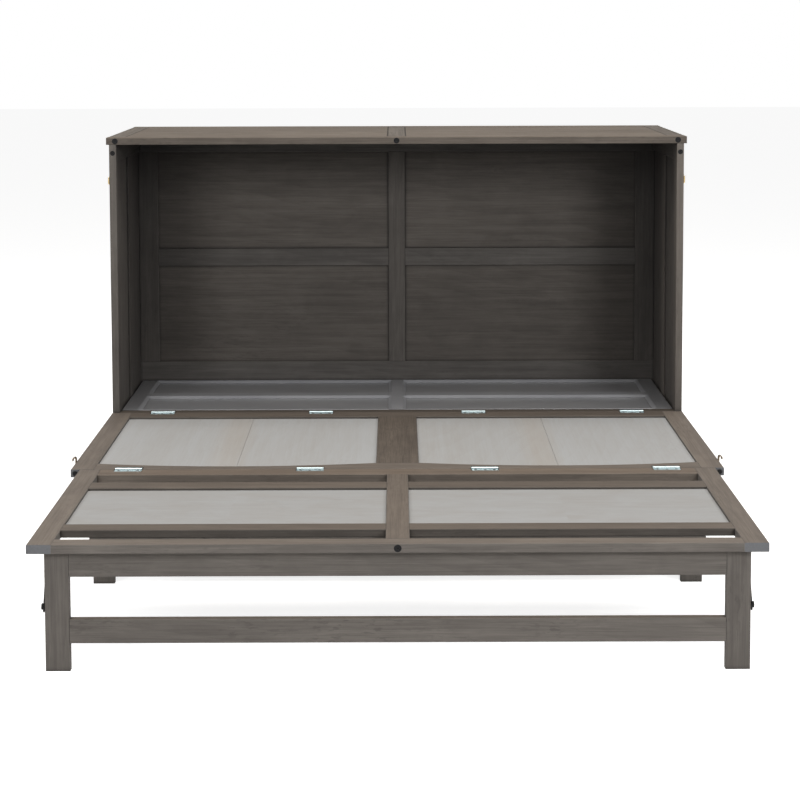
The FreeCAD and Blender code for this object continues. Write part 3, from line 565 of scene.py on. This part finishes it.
def finish_material(name, group, values, style, grain="X"):
    """A material from one of the groups, in a style, with its grain along an axis."""
    (strength, distance), (radius, rubbed, corner), shader = style
    material = bpy.data.materials.new(name)
    tree = empty_tree(material)
    principled = add_node(tree, "ShaderNodeBsdfPrincipled", shader)
    add_node(tree, "ShaderNodeOutputMaterial", {0: principled.outputs[0]})
    place = tree.nodes.new("ShaderNodeTexCoord").outputs
    turned = add_node(tree, "ShaderNodeMapping",
                      {"Vector": place["Object"], "Rotation": GRAIN_TURNS[grain]})
    inputs = dict(values, Position=turned.outputs[0])
    if "Facing" in [item.name for item in group.interface.items_tree]:
        facing_node = add_node(
            tree, "ShaderNodeMapping",
            {"Vector": place["Normal"], "Rotation": GRAIN_TURNS[grain]}, vector_type="VECTOR")
        inputs.update(Facing=facing_node.outputs[0], Place=place["Object"])
    surface = add_node(tree, "ShaderNodeGroup", inputs, node_tree=group).outputs
    meeting = add_node(tree, "ShaderNodeGroup", {"Radius": radius},
                       node_tree=bpy.data.node_groups["Edges"]).outputs
    paler = blend(tree, WORN_SHARE, surface["Colour"], WORN_COLOUR)
    worn = blend(tree, times(tree, meeting["Rubbed"], rubbed), surface["Colour"], paler)
    dust_and_shade = blend(tree, times(tree, meeting["Corner"], corner), worn, DUST_AND_SHADE_COLOUR)
    tree.links.new(dust_and_shade, principled.inputs["Base Color"])
    tree.links.new(surface["Roughness"], principled.inputs["Roughness"])
    bumped = add_node(tree, "ShaderNodeBump",
                      {"Height": surface["Height"], "Normal": meeting["Normal"],
                       "Strength": strength, "Distance": distance})
    tree.links.new(bumped.outputs[0], principled.inputs["Normal"])
    return material


def opaque(rgb, shade=1.0, warmth=0.0):
    """A colour property as a four-part colour, made paler or darker, warmer or cooler."""
    return (rgb[0] * shade * (1.0 + warmth), rgb[1] * shade, rgb[2] * shade * (1.0 - warmth), 1.0)


def dress(nodes, material):
    """Gives solids one material."""
    for name in nodes:
        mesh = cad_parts[name].data
        mesh.materials.clear()
        mesh.materials.append(material)


def finish_node(node, group, values, style, grain="X"):
    """Gives a node its own material, which has the node's name in words."""
    name = node.replace("_", " ").capitalize()
    dress([node], finish_material(name, group, values, STYLES[style], grain))


# --- mesh helpers

CROSS_ARM, CROSS_HALF = 0.62, 0.16  # of the head's radius
HEAD_TAPER = 0.55
HEAD_DEPTH = 1.1  # of the recess
HEAD_ROUND = 0.8  # of how proud the head is
UP, DOWN = Vector((0, 0, 1)), Vector((0, 0, -1))
FRONT, REAR = Vector((0, -1, 0)), Vector((0, 1, 0))


def settle(bm, name, body, material):
    """Turns a bmesh into a piece that rides on a body."""
    bmesh.ops.remove_doubles(bm, verts=bm.verts, dist=1e-6)
    bmesh.ops.recalc_face_normals(bm, faces=bm.faces)
    mesh = bpy.data.meshes.new(name)
    bm.to_mesh(mesh)
    bm.free()
    mesh.materials.append(material)
    piece = bpy.data.objects.new(name, mesh)
    bpy.context.scene.collection.objects.link(piece)
    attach(piece, body)
    return piece


def solids_of(node):
    """The lowest and highest corner of each separate solid of a node, from left to right."""
    bm = bmesh.new()
    bm.from_mesh(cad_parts[node].data)
    bmesh.ops.remove_doubles(bm, verts=bm.verts, dist=1e-6)
    left, boxes = set(bm.verts), []
    while left:
        island, edge = set(), [left.pop()]
        while edge:
            vert = edge.pop()
            island.add(vert)
            for link in vert.link_edges:
                other = link.other_vert(vert)
                if other in left:
                    left.remove(other)
                    edge.append(other)
        points = [v.co for v in island]
        boxes.append((Vector([min(p[i] for p in points) for i in range(3)]),
                      Vector([max(p[i] for p in points) for i in range(3)])))
    bm.free()
    return sorted(boxes, key=lambda box: (box[0].x, box[0].y, box[0].z))


def new_verts(result):
    """The vertices that an operator made."""
    return [v for v in result["geom"] if isinstance(v, bmesh.types.BMVert)]


def screw_mesh(radius, recess, proud):
    """A flat screw head with a cross recess, its top proud of z = 0 and facing +Z."""
    bm = bmesh.new()
    bmesh.ops.create_circle(bm, segments=24, radius=radius)
    rim = list(bm.edges)
    arm, half = radius * CROSS_ARM, radius * CROSS_HALF
    quarter, corners = [(arm, -half), (arm, half), (half, half)], []
    for _ in range(4):
        corners += quarter
        quarter = [(-y, x) for x, y in quarter]
    cross = [bm.verts.new((x, y, 0)) for x, y in corners]
    inner = [bm.edges.new((cross[i - 1], cross[i])) for i in range(len(cross))]
    bmesh.ops.triangle_fill(bm, use_beauty=True, edges=rim + inner)
    inside = [f for f in bm.faces if all(v in cross for v in f.verts)
              and is_in_cross(f.calc_center_median(), arm, half)]
    bmesh.ops.delete(bm, geom=inside, context="FACES_ONLY")
    bmesh.ops.translate(bm, verts=bm.verts, vec=(0, 0, proud))
    floor = new_verts(bmesh.ops.extrude_edge_only(bm, edges=inner))
    bmesh.ops.scale(bm, vec=(HEAD_TAPER, HEAD_TAPER, 1.0), verts=floor)
    bmesh.ops.translate(bm, verts=floor, vec=(0, 0, -recess))
    bmesh.ops.contextual_create(bm, geom=floor)
    low = new_verts(bmesh.ops.extrude_edge_only(bm, edges=rim))
    bmesh.ops.scale(bm, vec=(HEAD_TAPER, HEAD_TAPER, 1.0), verts=low)
    bmesh.ops.translate(bm, verts=low, vec=(0, 0, -HEAD_DEPTH * recess - proud))
    bmesh.ops.contextual_create(bm, geom=low)
    bmesh.ops.bevel(bm, geom=rim, offset=proud * HEAD_ROUND, segments=2, profile=0.5,
                    affect="EDGES", material=-1)
    bmesh.ops.recalc_face_normals(bm, faces=bm.faces)
    mesh = bpy.data.meshes.new("screw_head")
    bm.to_mesh(mesh)
    bm.free()
    return mesh


def is_in_cross(point, arm, half):
    """Whether a point lies inside the cross of the recess."""
    x, y = abs(point.x), abs(point.y)
    return point.length < arm and ((x < half and y < arm) or (y < half and x < arm))


def set_of(mesh, places):
    """A bmesh that holds a copy of the mesh at each place."""
    bm = bmesh.new()
    for place in places:
        before = set(bm.verts)
        bm.from_mesh(mesh)
        bmesh.ops.transform(bm, matrix=place, verts=[v for v in bm.verts if v not in before])
    return bm


def facing(point, direction, spin):
    """A place at a point whose +Z looks along a direction."""
    turn = Vector(direction).to_track_quat("Z", "Y").to_matrix().to_4x4()
    return Matrix.Translation(point) @ turn @ Matrix.Rotation(spin, 4, "Z")


def screws_on(name, body, places, radius, material):
    """Screw heads on one body."""
    sizes = bpy.context.scene.bed_screws
    mesh = screw_mesh(radius, sizes.recess, sizes.proud)
    piece = settle(set_of(mesh, places), name, body, bpy.data.materials[material])
    bpy.data.meshes.remove(mesh)
    return piece


# --- tables

# Each stained node: its grain, how many members lie side by side along X, Y and Z, how pale it is
# and how warm. Besides the stain's own differences, the paleness holds painted light and shade:
# the left side stiles are darker than the right ones, and the hinge rail, the slats and the cross
# beams are darker where shade falls.
STAINED = {
    "top_rails": ("X", (1, 2, 1), 0.92, 0.04),
    "top_stiles": ("Y", (3, 1, 1), 0.92, -0.02),
    "top_boards": ("X", (2, 2, 1), 0.95, 0.02),
    "left_side_stiles": ("Z", (1, 3, 1), 0.74, 0.0),
    "left_side_rails": ("Y", (1, 1, 2), 0.80, 0.0),
    "left_side_panels": ("Z", (1, 2, 1), 0.84, 0.0),
    "right_side_stiles": ("Z", (1, 3, 1), 0.98, 0.02),
    "right_side_rails": ("Y", (1, 1, 2), 0.80, 0.0),
    "right_side_panels": ("Z", (1, 2, 1), 0.78, 0.0),
    "back_rails": ("X", (1, 1, 3), 0.87, -0.02),
    "back_stiles": ("Z", (3, 1, 1), 0.81, 0.0),
    "back_panels": ("X", (2, 1, 2), 0.80, 0.02),
    "hinge_rail": ("X", (1, 1, 1), 0.52, 0.03),
    "lower_front_stiles": ("Z", (3, 1, 1), 0.95, 0.0),
    "lower_front_rails": ("X", (2, 1, 2), 0.95, 0.0),
    "lower_front_panels": ("X", (2, 1, 1), 0.92, 0.0),
    "middle_side_stiles": ("Y", (2, 1, 1), 1.10, 0.0),
    "middle_centre_stile": ("Y", (1, 1, 1), 0.66, 0.03),
    "middle_hinge_rail": ("X", (1, 1, 1), 0.74, 0.02),
    "middle_arched_rail": ("X", (1, 1, 1), 1.03, 0.0),
    "front_side_stiles": ("Y", (2, 1, 1), 1.02, 0.0),
    "front_centre_stile": ("Y", (1, 1, 1), 0.92, 0.02),
    "front_end_rail": ("X", (1, 1, 1), 1.01, 0.0),
    "front_fold_rail": ("X", (1, 1, 1), 0.93, 0.07),
    "front_slats": ("X", (2, 1, 1), 0.78, 0.03),
    "rear_slats": ("X", (2, 1, 1), 0.73, 0.03),
    "front_cross_beams": ("X", (1, 2, 1), 0.72, 0.0),
    "front_leg_rails": ("X", (1, 1, 2), 0.97, 0.0),
    "seam_leg_rails": ("X", (1, 1, 2), 0.95, 0.0),
    "front_legs": ("Z", (2, 1, 1), 0.98, 0.0),
    "seam_legs": ("Z", (2, 1, 1), 1.05, 0.0),
}
INSIDE = ("left_side_", "right_side_", "back_")  # how the names of the chest's walls begin
BARE = {"platform_cleats": ("Y", (2, 1, 1)), "platform_bearers": ("X", (1, 1, 1))}

STAIN = {"Streaks": 0.60, "Figure": 0.14, "Blotches": 0.36, "Flecks": 0.45, "Pores": 0.50,
         "Unevenness": 0.05}
INSIDE_STAIN = {"Flecks": 0.20, "Pores": 0.35}
BARE_GRAIN = {"Figure": 0.5, "Blotches": 0.1}
MOTTLED = {"Blotches": 0.9, "Flecks": 1.0, "Pores": 0.9}
FIRST_SEED, SEED_STEP, BARE_SEED = 3.0, 7.0, 91.0
BARE_DARK, BARE_END = 0.6, 0.5
MEMBER_MARGIN = 0.002

# Each node of light boards: its grain, seed, unevenness, heartwood, blotches and how pale it is.
LIGHT_BOARDS = {
    "middle_panels": ("Y", 4.0, 0.10, 0.8, 0.15, 1.0),
    "front_panels": ("X", 15.0, 0.05, 0.0, 0.9, 0.895),
}
WHITEWASH = {"Streaks": 0.40, "Figure": 0.12, "Flecks": 0.10, "Pores": 0.12}
BOARD_REACH = 10.0  # beyond the bed on either side

PAINT_SHEEN = 0.30
PAINT_END_INSET = 0.006
METAL_SPECULAR, BLACK_SPECULAR = 0.5, 0.15

# Each metal: its name, colour, clouding, roughness, how metallic it is, how rubbed its arrises
# are, and its nodes.
METALS = (
    ("Zinc plate", "zinc", 0.35, 0.30, 1.0, 0.35,
     ("chest_hinge_rear_leaves", "chest_hinge_front_leaves", "chest_hinge_pins",
      "fold_hinge_rear_leaves", "fold_hinge_front_leaves", "fold_hinge_pins",
      "leg_hinge_section_leaves", "front_leg_hinge_leaves", "seam_leg_hinge_leaves")),
    ("Screw steel", "screw", 0.4, 0.36, 1.0, 0.2, ()),
    ("Brass plate", "brass", 0.4, 0.26, 1.0, 0.35,
     ("latch_plates", "left_latch_lever", "right_latch_lever", "left_latch_loop",
      "right_latch_loop")),
    # Painted shade: the strike hooks' dark colour stands for brass in shade.
    ("Bronze", "bronze", 0.4, 0.36, 1.0, 0.35, ("strike_hooks",)),
    ("Black steel", "black", 0.3, 0.45, 0.0, 0.12,
     ("connector_bolts", "front_bolt", "front_leg_stays", "seam_leg_stays", "front_stay_bolts",
      "seam_stay_bolts", "stay_brackets")),
    ("Rubber", "rubber", 0.3, 0.72, 0.0, 0.1, ("bumpers",)),
)

# Each row of hinge leaves: its body, the way its screws face, and the way from its barrel to
# its free edge.
HINGE_ROWS = (
    ("chest_hinge_rear", "chest", UP, REAR),
    ("chest_hinge_front", "middle_section", UP, FRONT),
    ("fold_hinge_rear", "middle_section", UP, REAR),
    ("fold_hinge_front", "front_section", UP, FRONT),
    ("front_leg_hinge", "front_leg_frame", REAR, DOWN),
    ("seam_leg_hinge", "seam_leg_frame", FRONT, DOWN),
)
LEAF_WIDTH = 0.01  # a leaf is wider along Y than this, and a barrel isn't
HINGE_SPIN, HINGE_SPIN_STEP = 0.5, 1.3

# Thickness of the small plates, and how far their screws sit from their edges.
LATCH_PLATE, LATCH_SIDE, LATCH_END = 0.0015, 0.0045, 0.0050
HOOK_PLATE, HOOK_END = 0.0025, 0.0065
BRACKET_PLATE, BRACKET_SIDE, BRACKET_END = 0.0025, 0.0065, 0.0050
LATCH_SPIN, HOOK_SPIN, BRACKET_SPIN, SPIN_ALONG = 0.4, 0.7, 0.3, 20

# A rib's outline: shares of its pitch, and of its height that is left out there.
RIB_OUTLINE = ((0.15, 1.0), (0.30, 0.0), (0.70, 0.0), (0.85, 1.0))
STRIP_ROUND = 0.0002

# Each lamp: where it hangs, where it looks and how large it is.
LAMPS = {
    "left_lamp": ((-2.3, -3.6, 2.00), (0.0, 0.4, 0.7), 1.0),
    "right_lamp": ((2.3, -3.6, 2.00), (0.0, 0.4, 0.7), 1.0),
    "rear_lamp": ((0.0, 4.6, 2.4), (0.0, 0.9, 0.5), 2.5),
    "top_lamp": ((0.0, -0.6, 4.2), (0.0, -0.2, 0.5), 4.0),
}
FLOOR_SIZE = 30.0


# --- operators

def member_sizes(node, counts):
    """Where a node's members start, and the room that each one has."""
    low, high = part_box(node)
    margin = Vector((MEMBER_MARGIN,) * 3)
    room = [(high[i] - low[i] + 2 * margin[i]) / counts[i] for i in range(3)]
    return low - margin, Vector(room)


def joint_and_shade_lines(strength, width, first=NOWHERE, second=NOWHERE, along=NOWHERE):
    """Dark lines at two distances from the bed's middle and one place along Y."""
    return {"Joints": strength, "Joint Width": width, "Joint Places": (first, second, along)}


def marks_on(finishes):
    """What some nodes have besides the stain: painted light on top, joint lines, painted shade
    lines or mottling.
    """
    # Painted light: the top slab's upward faces get their own warm tint.
    lit = {"Sunned": opaque(finishes.slab)}
    stiles = solids_of("top_stiles")
    slab = dict(lit, **joint_and_shade_lines(0.75, 0.0026, stiles[2][0].x, stiles[1][1].x))
    return {
        "top_rails": lit, "top_stiles": slab, "top_boards": slab,
        # Painted shade: a dark line on the front face of the front slats, in the slot where shade
        # falls.
        "front_slats": joint_and_shade_lines(0.24, 0.003, along=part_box("front_slats")[0].y),
        # Painted shadow: a dark line along the rail's rear edge, at the gap in front of the
        # platform.
        "hinge_rail": joint_and_shade_lines(0.85, 0.010, along=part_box("hinge_rail")[1].y),
        "middle_centre_stile": MOTTLED,
    }


class BED_OT_stain_timber(bpy.types.Operator):
    """Stains the frames, rails, stiles, legs and dark panels, each with its own grain direction"""

    bl_idname = "bed.stain_timber"
    bl_label = "Stain timber"

    def execute(self, context):
        finishes = context.scene.bed_finishes
        build_edges_group()
        group = build_timber_group()
        # Painted light on faces that look up.
        base = dict(STAIN, Sunned=opaque(finishes.sunned))
        marks = marks_on(finishes)
        for index, (node, (grain, counts, shade, warmth)) in enumerate(STAINED.items()):
            start, member = member_sizes(node, counts)
            values = dict(base, Start=start, Member=member, Seed=FIRST_SEED + SEED_STEP * index,
                          Light=opaque(finishes.stain_light, shade, warmth),
                          Dark=opaque(finishes.stain_dark, shade, warmth),
                          End=opaque(finishes.end_grain, shade))
            if node.startswith(INSIDE):
                # Painted shade deep inside the chest.
                values.update(INSIDE_STAIN, Deep=finishes.painted_deep_shade)
                values["Floor of Chest"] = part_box("platform_frame")[1].z
            values.update(marks.get(node, {}))
            style = "slab" if node.startswith("top_") else "timber"
            finish_node(node, group, values, style, grain)
        bare = dict(base, **BARE_GRAIN, Seed=BARE_SEED, Light=opaque(finishes.bare),
                    Dark=opaque(finishes.bare, BARE_DARK), End=opaque(finishes.bare, BARE_END))
        for node, (grain, counts) in BARE.items():
            start, member = member_sizes(node, counts)
            values = dict(bare, Start=start, Member=member)
            finish_node(node, group, values, "timber", grain)
        return {"FINISHED"}


class BED_OT_whitewash_boards(bpy.types.Operator):
    """Whitewashes the light boards of the two folding sections"""

    bl_idname = "bed.whitewash_boards"
    bl_label = "Whitewash boards"

    def execute(self, context):
        finishes = context.scene.bed_finishes
        group = bpy.data.node_groups["Timber"]
        base = dict(WHITEWASH, End=opaque(finishes.board_warm), Heartwood=opaque(finishes.heart))
        for node, (grain, seed, uneven, heart, blotches, shade) in LIGHT_BOARDS.items():
            board = (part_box(node)[1].x + solids_of(node)[1][0].x) / 2
            values = dict(
                base, Start=(-2 * board, -BOARD_REACH, -BOARD_REACH),
                Member=(board, 2 * BOARD_REACH, 2 * BOARD_REACH), Seed=seed, Unevenness=uneven,
                Heart=heart, Blotches=blotches, Light=opaque(finishes.board_light, shade),
                Dark=opaque(finishes.board_warm, shade))
            finish_node(node, group, values, "board", grain)
        return {"FINISHED"}


class BED_OT_paint_platform(bpy.types.Operator):
    """Paints the fixed platform grey"""

    bl_idname = "bed.paint_platform"
    bl_label = "Paint platform"

    def execute(self, context):
        finishes = context.scene.bed_finishes
        group = build_paint_group()
        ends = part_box("platform_panels")[1].x - PAINT_END_INSET
        # Painted light: the frame is given a paler grey than the fields.
        for node, base in (("platform_panels", finishes.platform),
                           ("platform_frame", finishes.platform_frame)):
            values = {"Base": opaque(base), "Sheen": PAINT_SHEEN, "Ends": ends}
            finish_node(node, group, values, "paint")
        return {"FINISHED"}


class BED_OT_plate_hardware(bpy.types.Operator):
    """Plates the hinges, latches, hooks, bolts, stays and brackets"""

    bl_idname = "bed.plate_hardware"
    bl_label = "Plate hardware"

    def execute(self, context):
        finishes = context.scene.bed_finishes
        group = build_metal_group()
        for name, base, cloud, sheen, metallic, rubbed, nodes in METALS:
            values = {"Base": opaque(getattr(finishes, base)), "Cloud": cloud, "Sheen": sheen}
            shader = {"Metallic": metallic,
                      "Specular IOR Level": METAL_SPECULAR if metallic else BLACK_SPECULAR}
            style = METAL_BUMP, (METAL_ARRIS, rubbed, METAL_CORNER), shader
            dress(nodes, finish_material(name, group, values, style))
        return {"FINISHED"}


class BED_OT_fit_hinge_screws(bpy.types.Operator):
    """Fits three screws in each leaf of the hinges"""

    bl_idname = "bed.fit_hinge_screws"
    bl_label = "Fit hinge screws"

    def execute(self, context):
        sizes = context.scene.bed_screws
        for row, body, out, free in HINGE_ROWS:
            places = self.places_on(solids_of(row + "_leaves"), out, free, sizes)
            screws_on(row + "_screws", body, places, sizes.head_radius, "Screw steel")
        leaves = [solid for solid in solids_of("leg_hinge_section_leaves")
                  if (solid[1] - solid[0]).y > LEAF_WIDTH]
        middle = sum(solid[0].y for solid in leaves) / len(leaves)
        places = []
        for solid in leaves:
            places += self.places_on([solid], DOWN, REAR if solid[0].y > middle else FRONT, sizes)
        screws_on("leg_hinge_section_screws", "front_section", places, sizes.head_radius,
                  "Screw steel")
        return {"FINISHED"}

    def places_on(self, leaves, out, free, sizes):
        """Where the screws of some leaves sit."""
        places = []
        for low, high in leaves:
            base = Vector([low[i] if out[i] > 0 else high[i] for i in range(3)])
            edge = Vector([high[i] if free[i] > 0 else low[i] for i in range(3)])
            half = (high.x - low.x) / 2 - sizes.end_margin
            for index, share in enumerate((-1.0, 0.0, 1.0)):
                inset = sizes.from_edge - (0.0 if share else sizes.stagger)
                spot = Vector(((low.x + high.x) / 2 + share * half, 0.0, 0.0))
                for axis in (1, 2):
                    if out[axis]:
                        spot[axis] = base[axis] + out[axis] * sizes.leaf
                    elif free[axis]:
                        spot[axis] = edge[axis] - free[axis] * inset
                places.append(facing(spot, out, HINGE_SPIN + HINGE_SPIN_STEP * index))
        return places


class BED_OT_fit_small_screws(bpy.types.Operator):
    """Fits the screws of the latches, the strike hooks and the stay brackets"""

    bl_idname = "bed.fit_small_screws"
    bl_label = "Fit small screws"

    def execute(self, context):
        radius = context.scene.bed_screws.small_radius
        latch, hook, stay = [], [], []
        for side, inner, _, low, high in self.plates_of("latch_plates"):
            for y in (low.y + LATCH_SIDE, high.y - LATCH_SIDE):
                for z in (low.z + LATCH_END, high.z - LATCH_END):
                    latch.append(facing((inner + side * LATCH_PLATE, y, z), (side, 0, 0),
                                        LATCH_SPIN + SPIN_ALONG * y))
        for side, inner, _, low, high in self.plates_of("strike_hooks"):
            spot = (inner + side * HOOK_PLATE, (low.y + high.y) / 2, low.z + HOOK_END)
            hook.append(facing(spot, (side, 0, 0), HOOK_SPIN))
        for side, _, outer, low, high in self.plates_of("stay_brackets"):
            for y in (low.y + BRACKET_END, high.y - BRACKET_END):
                spot = (outer - side * BRACKET_SIDE, y, high.z - BRACKET_PLATE)
                stay.append(facing(spot, DOWN, BRACKET_SPIN + SPIN_ALONG * y))
        screws_on("latch_screws", "chest", latch, radius, "Brass plate")
        screws_on("strike_screws", "middle_section", hook, radius, "Bronze")
        screws_on("bracket_screws", "front_section", stay, radius, "Black steel")
        return {"FINISHED"}

    def plates_of(self, node):
        """Each plate's side of the bed, its inner and outer face along X, and its corners."""
        for low, high in solids_of(node):
            side = 1 if low.x > 0 else -1
            inner, outer = (low.x, high.x) if side > 0 else (high.x, low.x)
            yield side, inner, outer, low, high


class BED_OT_fit_shade_strips(bpy.types.Operator):
    """Fits a ribbed black strip in each notch behind the outer hinges, as painted shade for the
    dark notch
    """

    bl_idname = "bed.fit_packing_strips"
    bl_label = "Fit packing strips"

    def execute(self, context):
        sizes = context.scene.bed_packing
        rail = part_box("hinge_rail")[1]
        leaves = solids_of("chest_hinge_rear_leaves")
        top = rail.z - sizes.below
        for side, (low, high) in (("left", leaves[0]), ("right", leaves[-1])):
            front, rear = high.y + 2 * sizes.play, rail.y - sizes.play
            outline = [(front, top - sizes.depth), (rear, top - sizes.depth),
                       (rear, top - sizes.rib)]
            pitch = (rear - front) / sizes.ribs
            for index in range(sizes.ribs):
                edge = rear - index * pitch
                outline += [(edge - share * pitch, top - left_out * sizes.rib)
                            for share, left_out in RIB_OUTLINE]
            outline.append((front, top - sizes.rib))
            bm = bmesh.new()
            face = bm.faces.new([bm.verts.new((low.x + sizes.play, y, z)) for y, z in outline])
            drawn = bmesh.ops.extrude_face_region(bm, geom=[face], use_keep_orig=True)
            bmesh.ops.translate(bm, verts=new_verts(drawn),
                                vec=(high.x - low.x - 2 * sizes.play, 0, 0))
            long_edges = [e for e in bm.edges
                          if abs(e.verts[0].co.x - e.verts[1].co.x) > sizes.depth]
            bmesh.ops.bevel(bm, geom=long_edges, offset=STRIP_ROUND, segments=2, profile=0.5,
                            affect="EDGES", material=-1)
            # Painted shade: a black strip put where the notch lies in shade.
            settle(bm, side + "_packing_strip", "chest", bpy.data.materials["Rubber"])
        return {"FINISHED"}


class BED_OT_set_stage(bpy.types.Operator):
    """Sets the floor, the lights and the camera"""

    bl_idname = "bed.set_stage"
    bl_label = "Set stage"

    def execute(self, context):
        scene, stage = context.scene, context.scene.bed_stage
        scene.view_settings.view_transform = "Standard"
        self.set_floor(scene, stage)
        self.set_room(scene, stage)
        lamps = {name: self.add_lamp(name, getattr(stage, name), *LAMPS[name]) for name in LAMPS}
        lamps["rear_lamp"].visible_glossy = False
        lamps["top_lamp"].data.color = stage.top_colour
        self.set_camera(scene, stage)
        return {"FINISHED"}

    def set_floor(self, scene, stage):
        """A plain pale floor that the camera sees lifted towards white."""
        bm = bmesh.new()
        bmesh.ops.create_grid(bm, x_segments=1, y_segments=1, size=FLOOR_SIZE)
        mesh = bpy.data.meshes.new("floor")
        bm.to_mesh(mesh)
        bm.free()
        floor = bpy.data.objects.new("floor", mesh)
        scene.collection.objects.link(floor)
        material = bpy.data.materials.new("Floor")
        tree = empty_tree(material)
        lit = add_node(tree, "ShaderNodeBsdfDiffuse", {"Color": opaque(stage.floor)})
        lift = times(tree, self.seen_directly(tree), stage.floor_lift)
        glow = add_node(tree, "ShaderNodeEmission", {"Color": WHITE, "Strength": lift})
        both = add_node(tree, "ShaderNodeAddShader", {0: lit.outputs[0], 1: glow.outputs[0]})
        add_node(tree, "ShaderNodeOutputMaterial", {0: both.outputs[0]})
        mesh.materials.append(material)

    def set_room(self, scene, stage):
        """Even white light all round, which the camera sees as plain white."""
        world = bpy.data.worlds.new("Pale room")
        scene.world = world
        tree = empty_tree(world)
        strength = spread(tree, self.seen_directly(tree), "all", (stage.sky, 1.0))
        background = add_node(
            tree, "ShaderNodeBackground", {"Color": WHITE, "Strength": strength})
        add_node(tree, "ShaderNodeOutputWorld", {0: background.outputs[0]})

    def set_camera(self, scene, stage):
        """A camera in front of the bed, a little above it."""
        camera_data = bpy.data.cameras.new("camera")
        camera_data.sensor_width = 36.0
        camera_data.lens = stage.lens
        camera_data.shift_y = stage.shift
        camera_data.clip_end = 100.0
        camera = bpy.data.objects.new("camera", camera_data)
        scene.collection.objects.link(camera)
        place = (0.0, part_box("hinge_rail")[0].y - stage.camera_gap, stage.camera_height)
        aim = Euler((math.pi / 2 - stage.pitch, 0.0, -stage.yaw), "XYZ").to_matrix().to_4x4()
        camera.matrix_world = (
            Matrix.Translation(place) @ aim @ Matrix.Rotation(-stage.roll, 4, "Z"))
        scene.camera = camera

    def seen_directly(self, tree):
        """One for rays from the camera and for those that polished or clear things pass on."""
        path = tree.nodes.new("ShaderNodeLightPath").outputs
        first = calc(tree, "MAXIMUM", path["Is Camera Ray"], path["Is Glossy Ray"])
        return calc(tree, "MAXIMUM", first, path["Is Transmission Ray"])

    def add_lamp(self, name, power, at, target, size):
        """A large square lamp that looks at a target."""
        data = bpy.data.lights.new(name, "AREA")
        data.energy = power
        data.size = size
        lamp = bpy.data.objects.new(name, data)
        bpy.context.scene.collection.objects.link(lamp)
        lamp.visible_camera = False
        look = Vector(target) - Vector(at)
        turn = look.to_track_quat("-Z", "Y").to_matrix().to_4x4()
        lamp.matrix_world = Matrix.Translation(at) @ turn
        return lamp


GROUPS = {"bed_finishes": BedFinishes, "bed_screws": BedScrews, "bed_packing": BedShadeStrips,
          "bed_stage": BedStage}
OPERATORS = (
    BED_OT_stain_timber,
    BED_OT_whitewash_boards,
    BED_OT_paint_platform,
    BED_OT_plate_hardware,
    BED_OT_fit_hinge_screws,
    BED_OT_fit_small_screws,
    BED_OT_fit_shade_strips,
    BED_OT_set_stage,
)


class BED_PT_cabinet_bed(bpy.types.Panel):
    """Cabinet bed finishes and trim."""

    bl_label = "Cabinet Bed"
    bl_idname = "BED_PT_cabinet_bed"
    bl_space_type = "VIEW_3D"
    bl_region_type = "UI"
    bl_category = "Cabinet Bed"

    def draw(self, context):
        layout = self.layout
        for operator in OPERATORS:
            layout.operator(operator.bl_idname)
        for group_name in GROUPS:
            group, box = getattr(context.scene, group_name), layout.box()
            for name in group.bl_rna.properties.keys():
                if name not in ("rna_type", "name"):
                    box.prop(group, name)


CLASSES = (*GROUPS.values(), *OPERATORS, BED_PT_cabinet_bed)


def register():
    """Registers the classes and hangs the property groups on the scene."""
    for cls in CLASSES:
        bpy.utils.register_class(cls)
    for name, group in GROUPS.items():
        setattr(bpy.types.Scene, name, bpy.props.PointerProperty(type=group))


def unregister():
    """Undoes what register did."""
    for name in GROUPS:
        delattr(bpy.types.Scene, name)
    for cls in reversed(CLASSES):
        bpy.utils.unregister_class(cls)


def main():
    """Registers the bed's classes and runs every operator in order."""
    register()
    for operator in OPERATORS:
        prefix, name = operator.bl_idname.split(".")
        getattr(getattr(bpy.ops, prefix), name)()


if __name__ == "__main__":
    main()
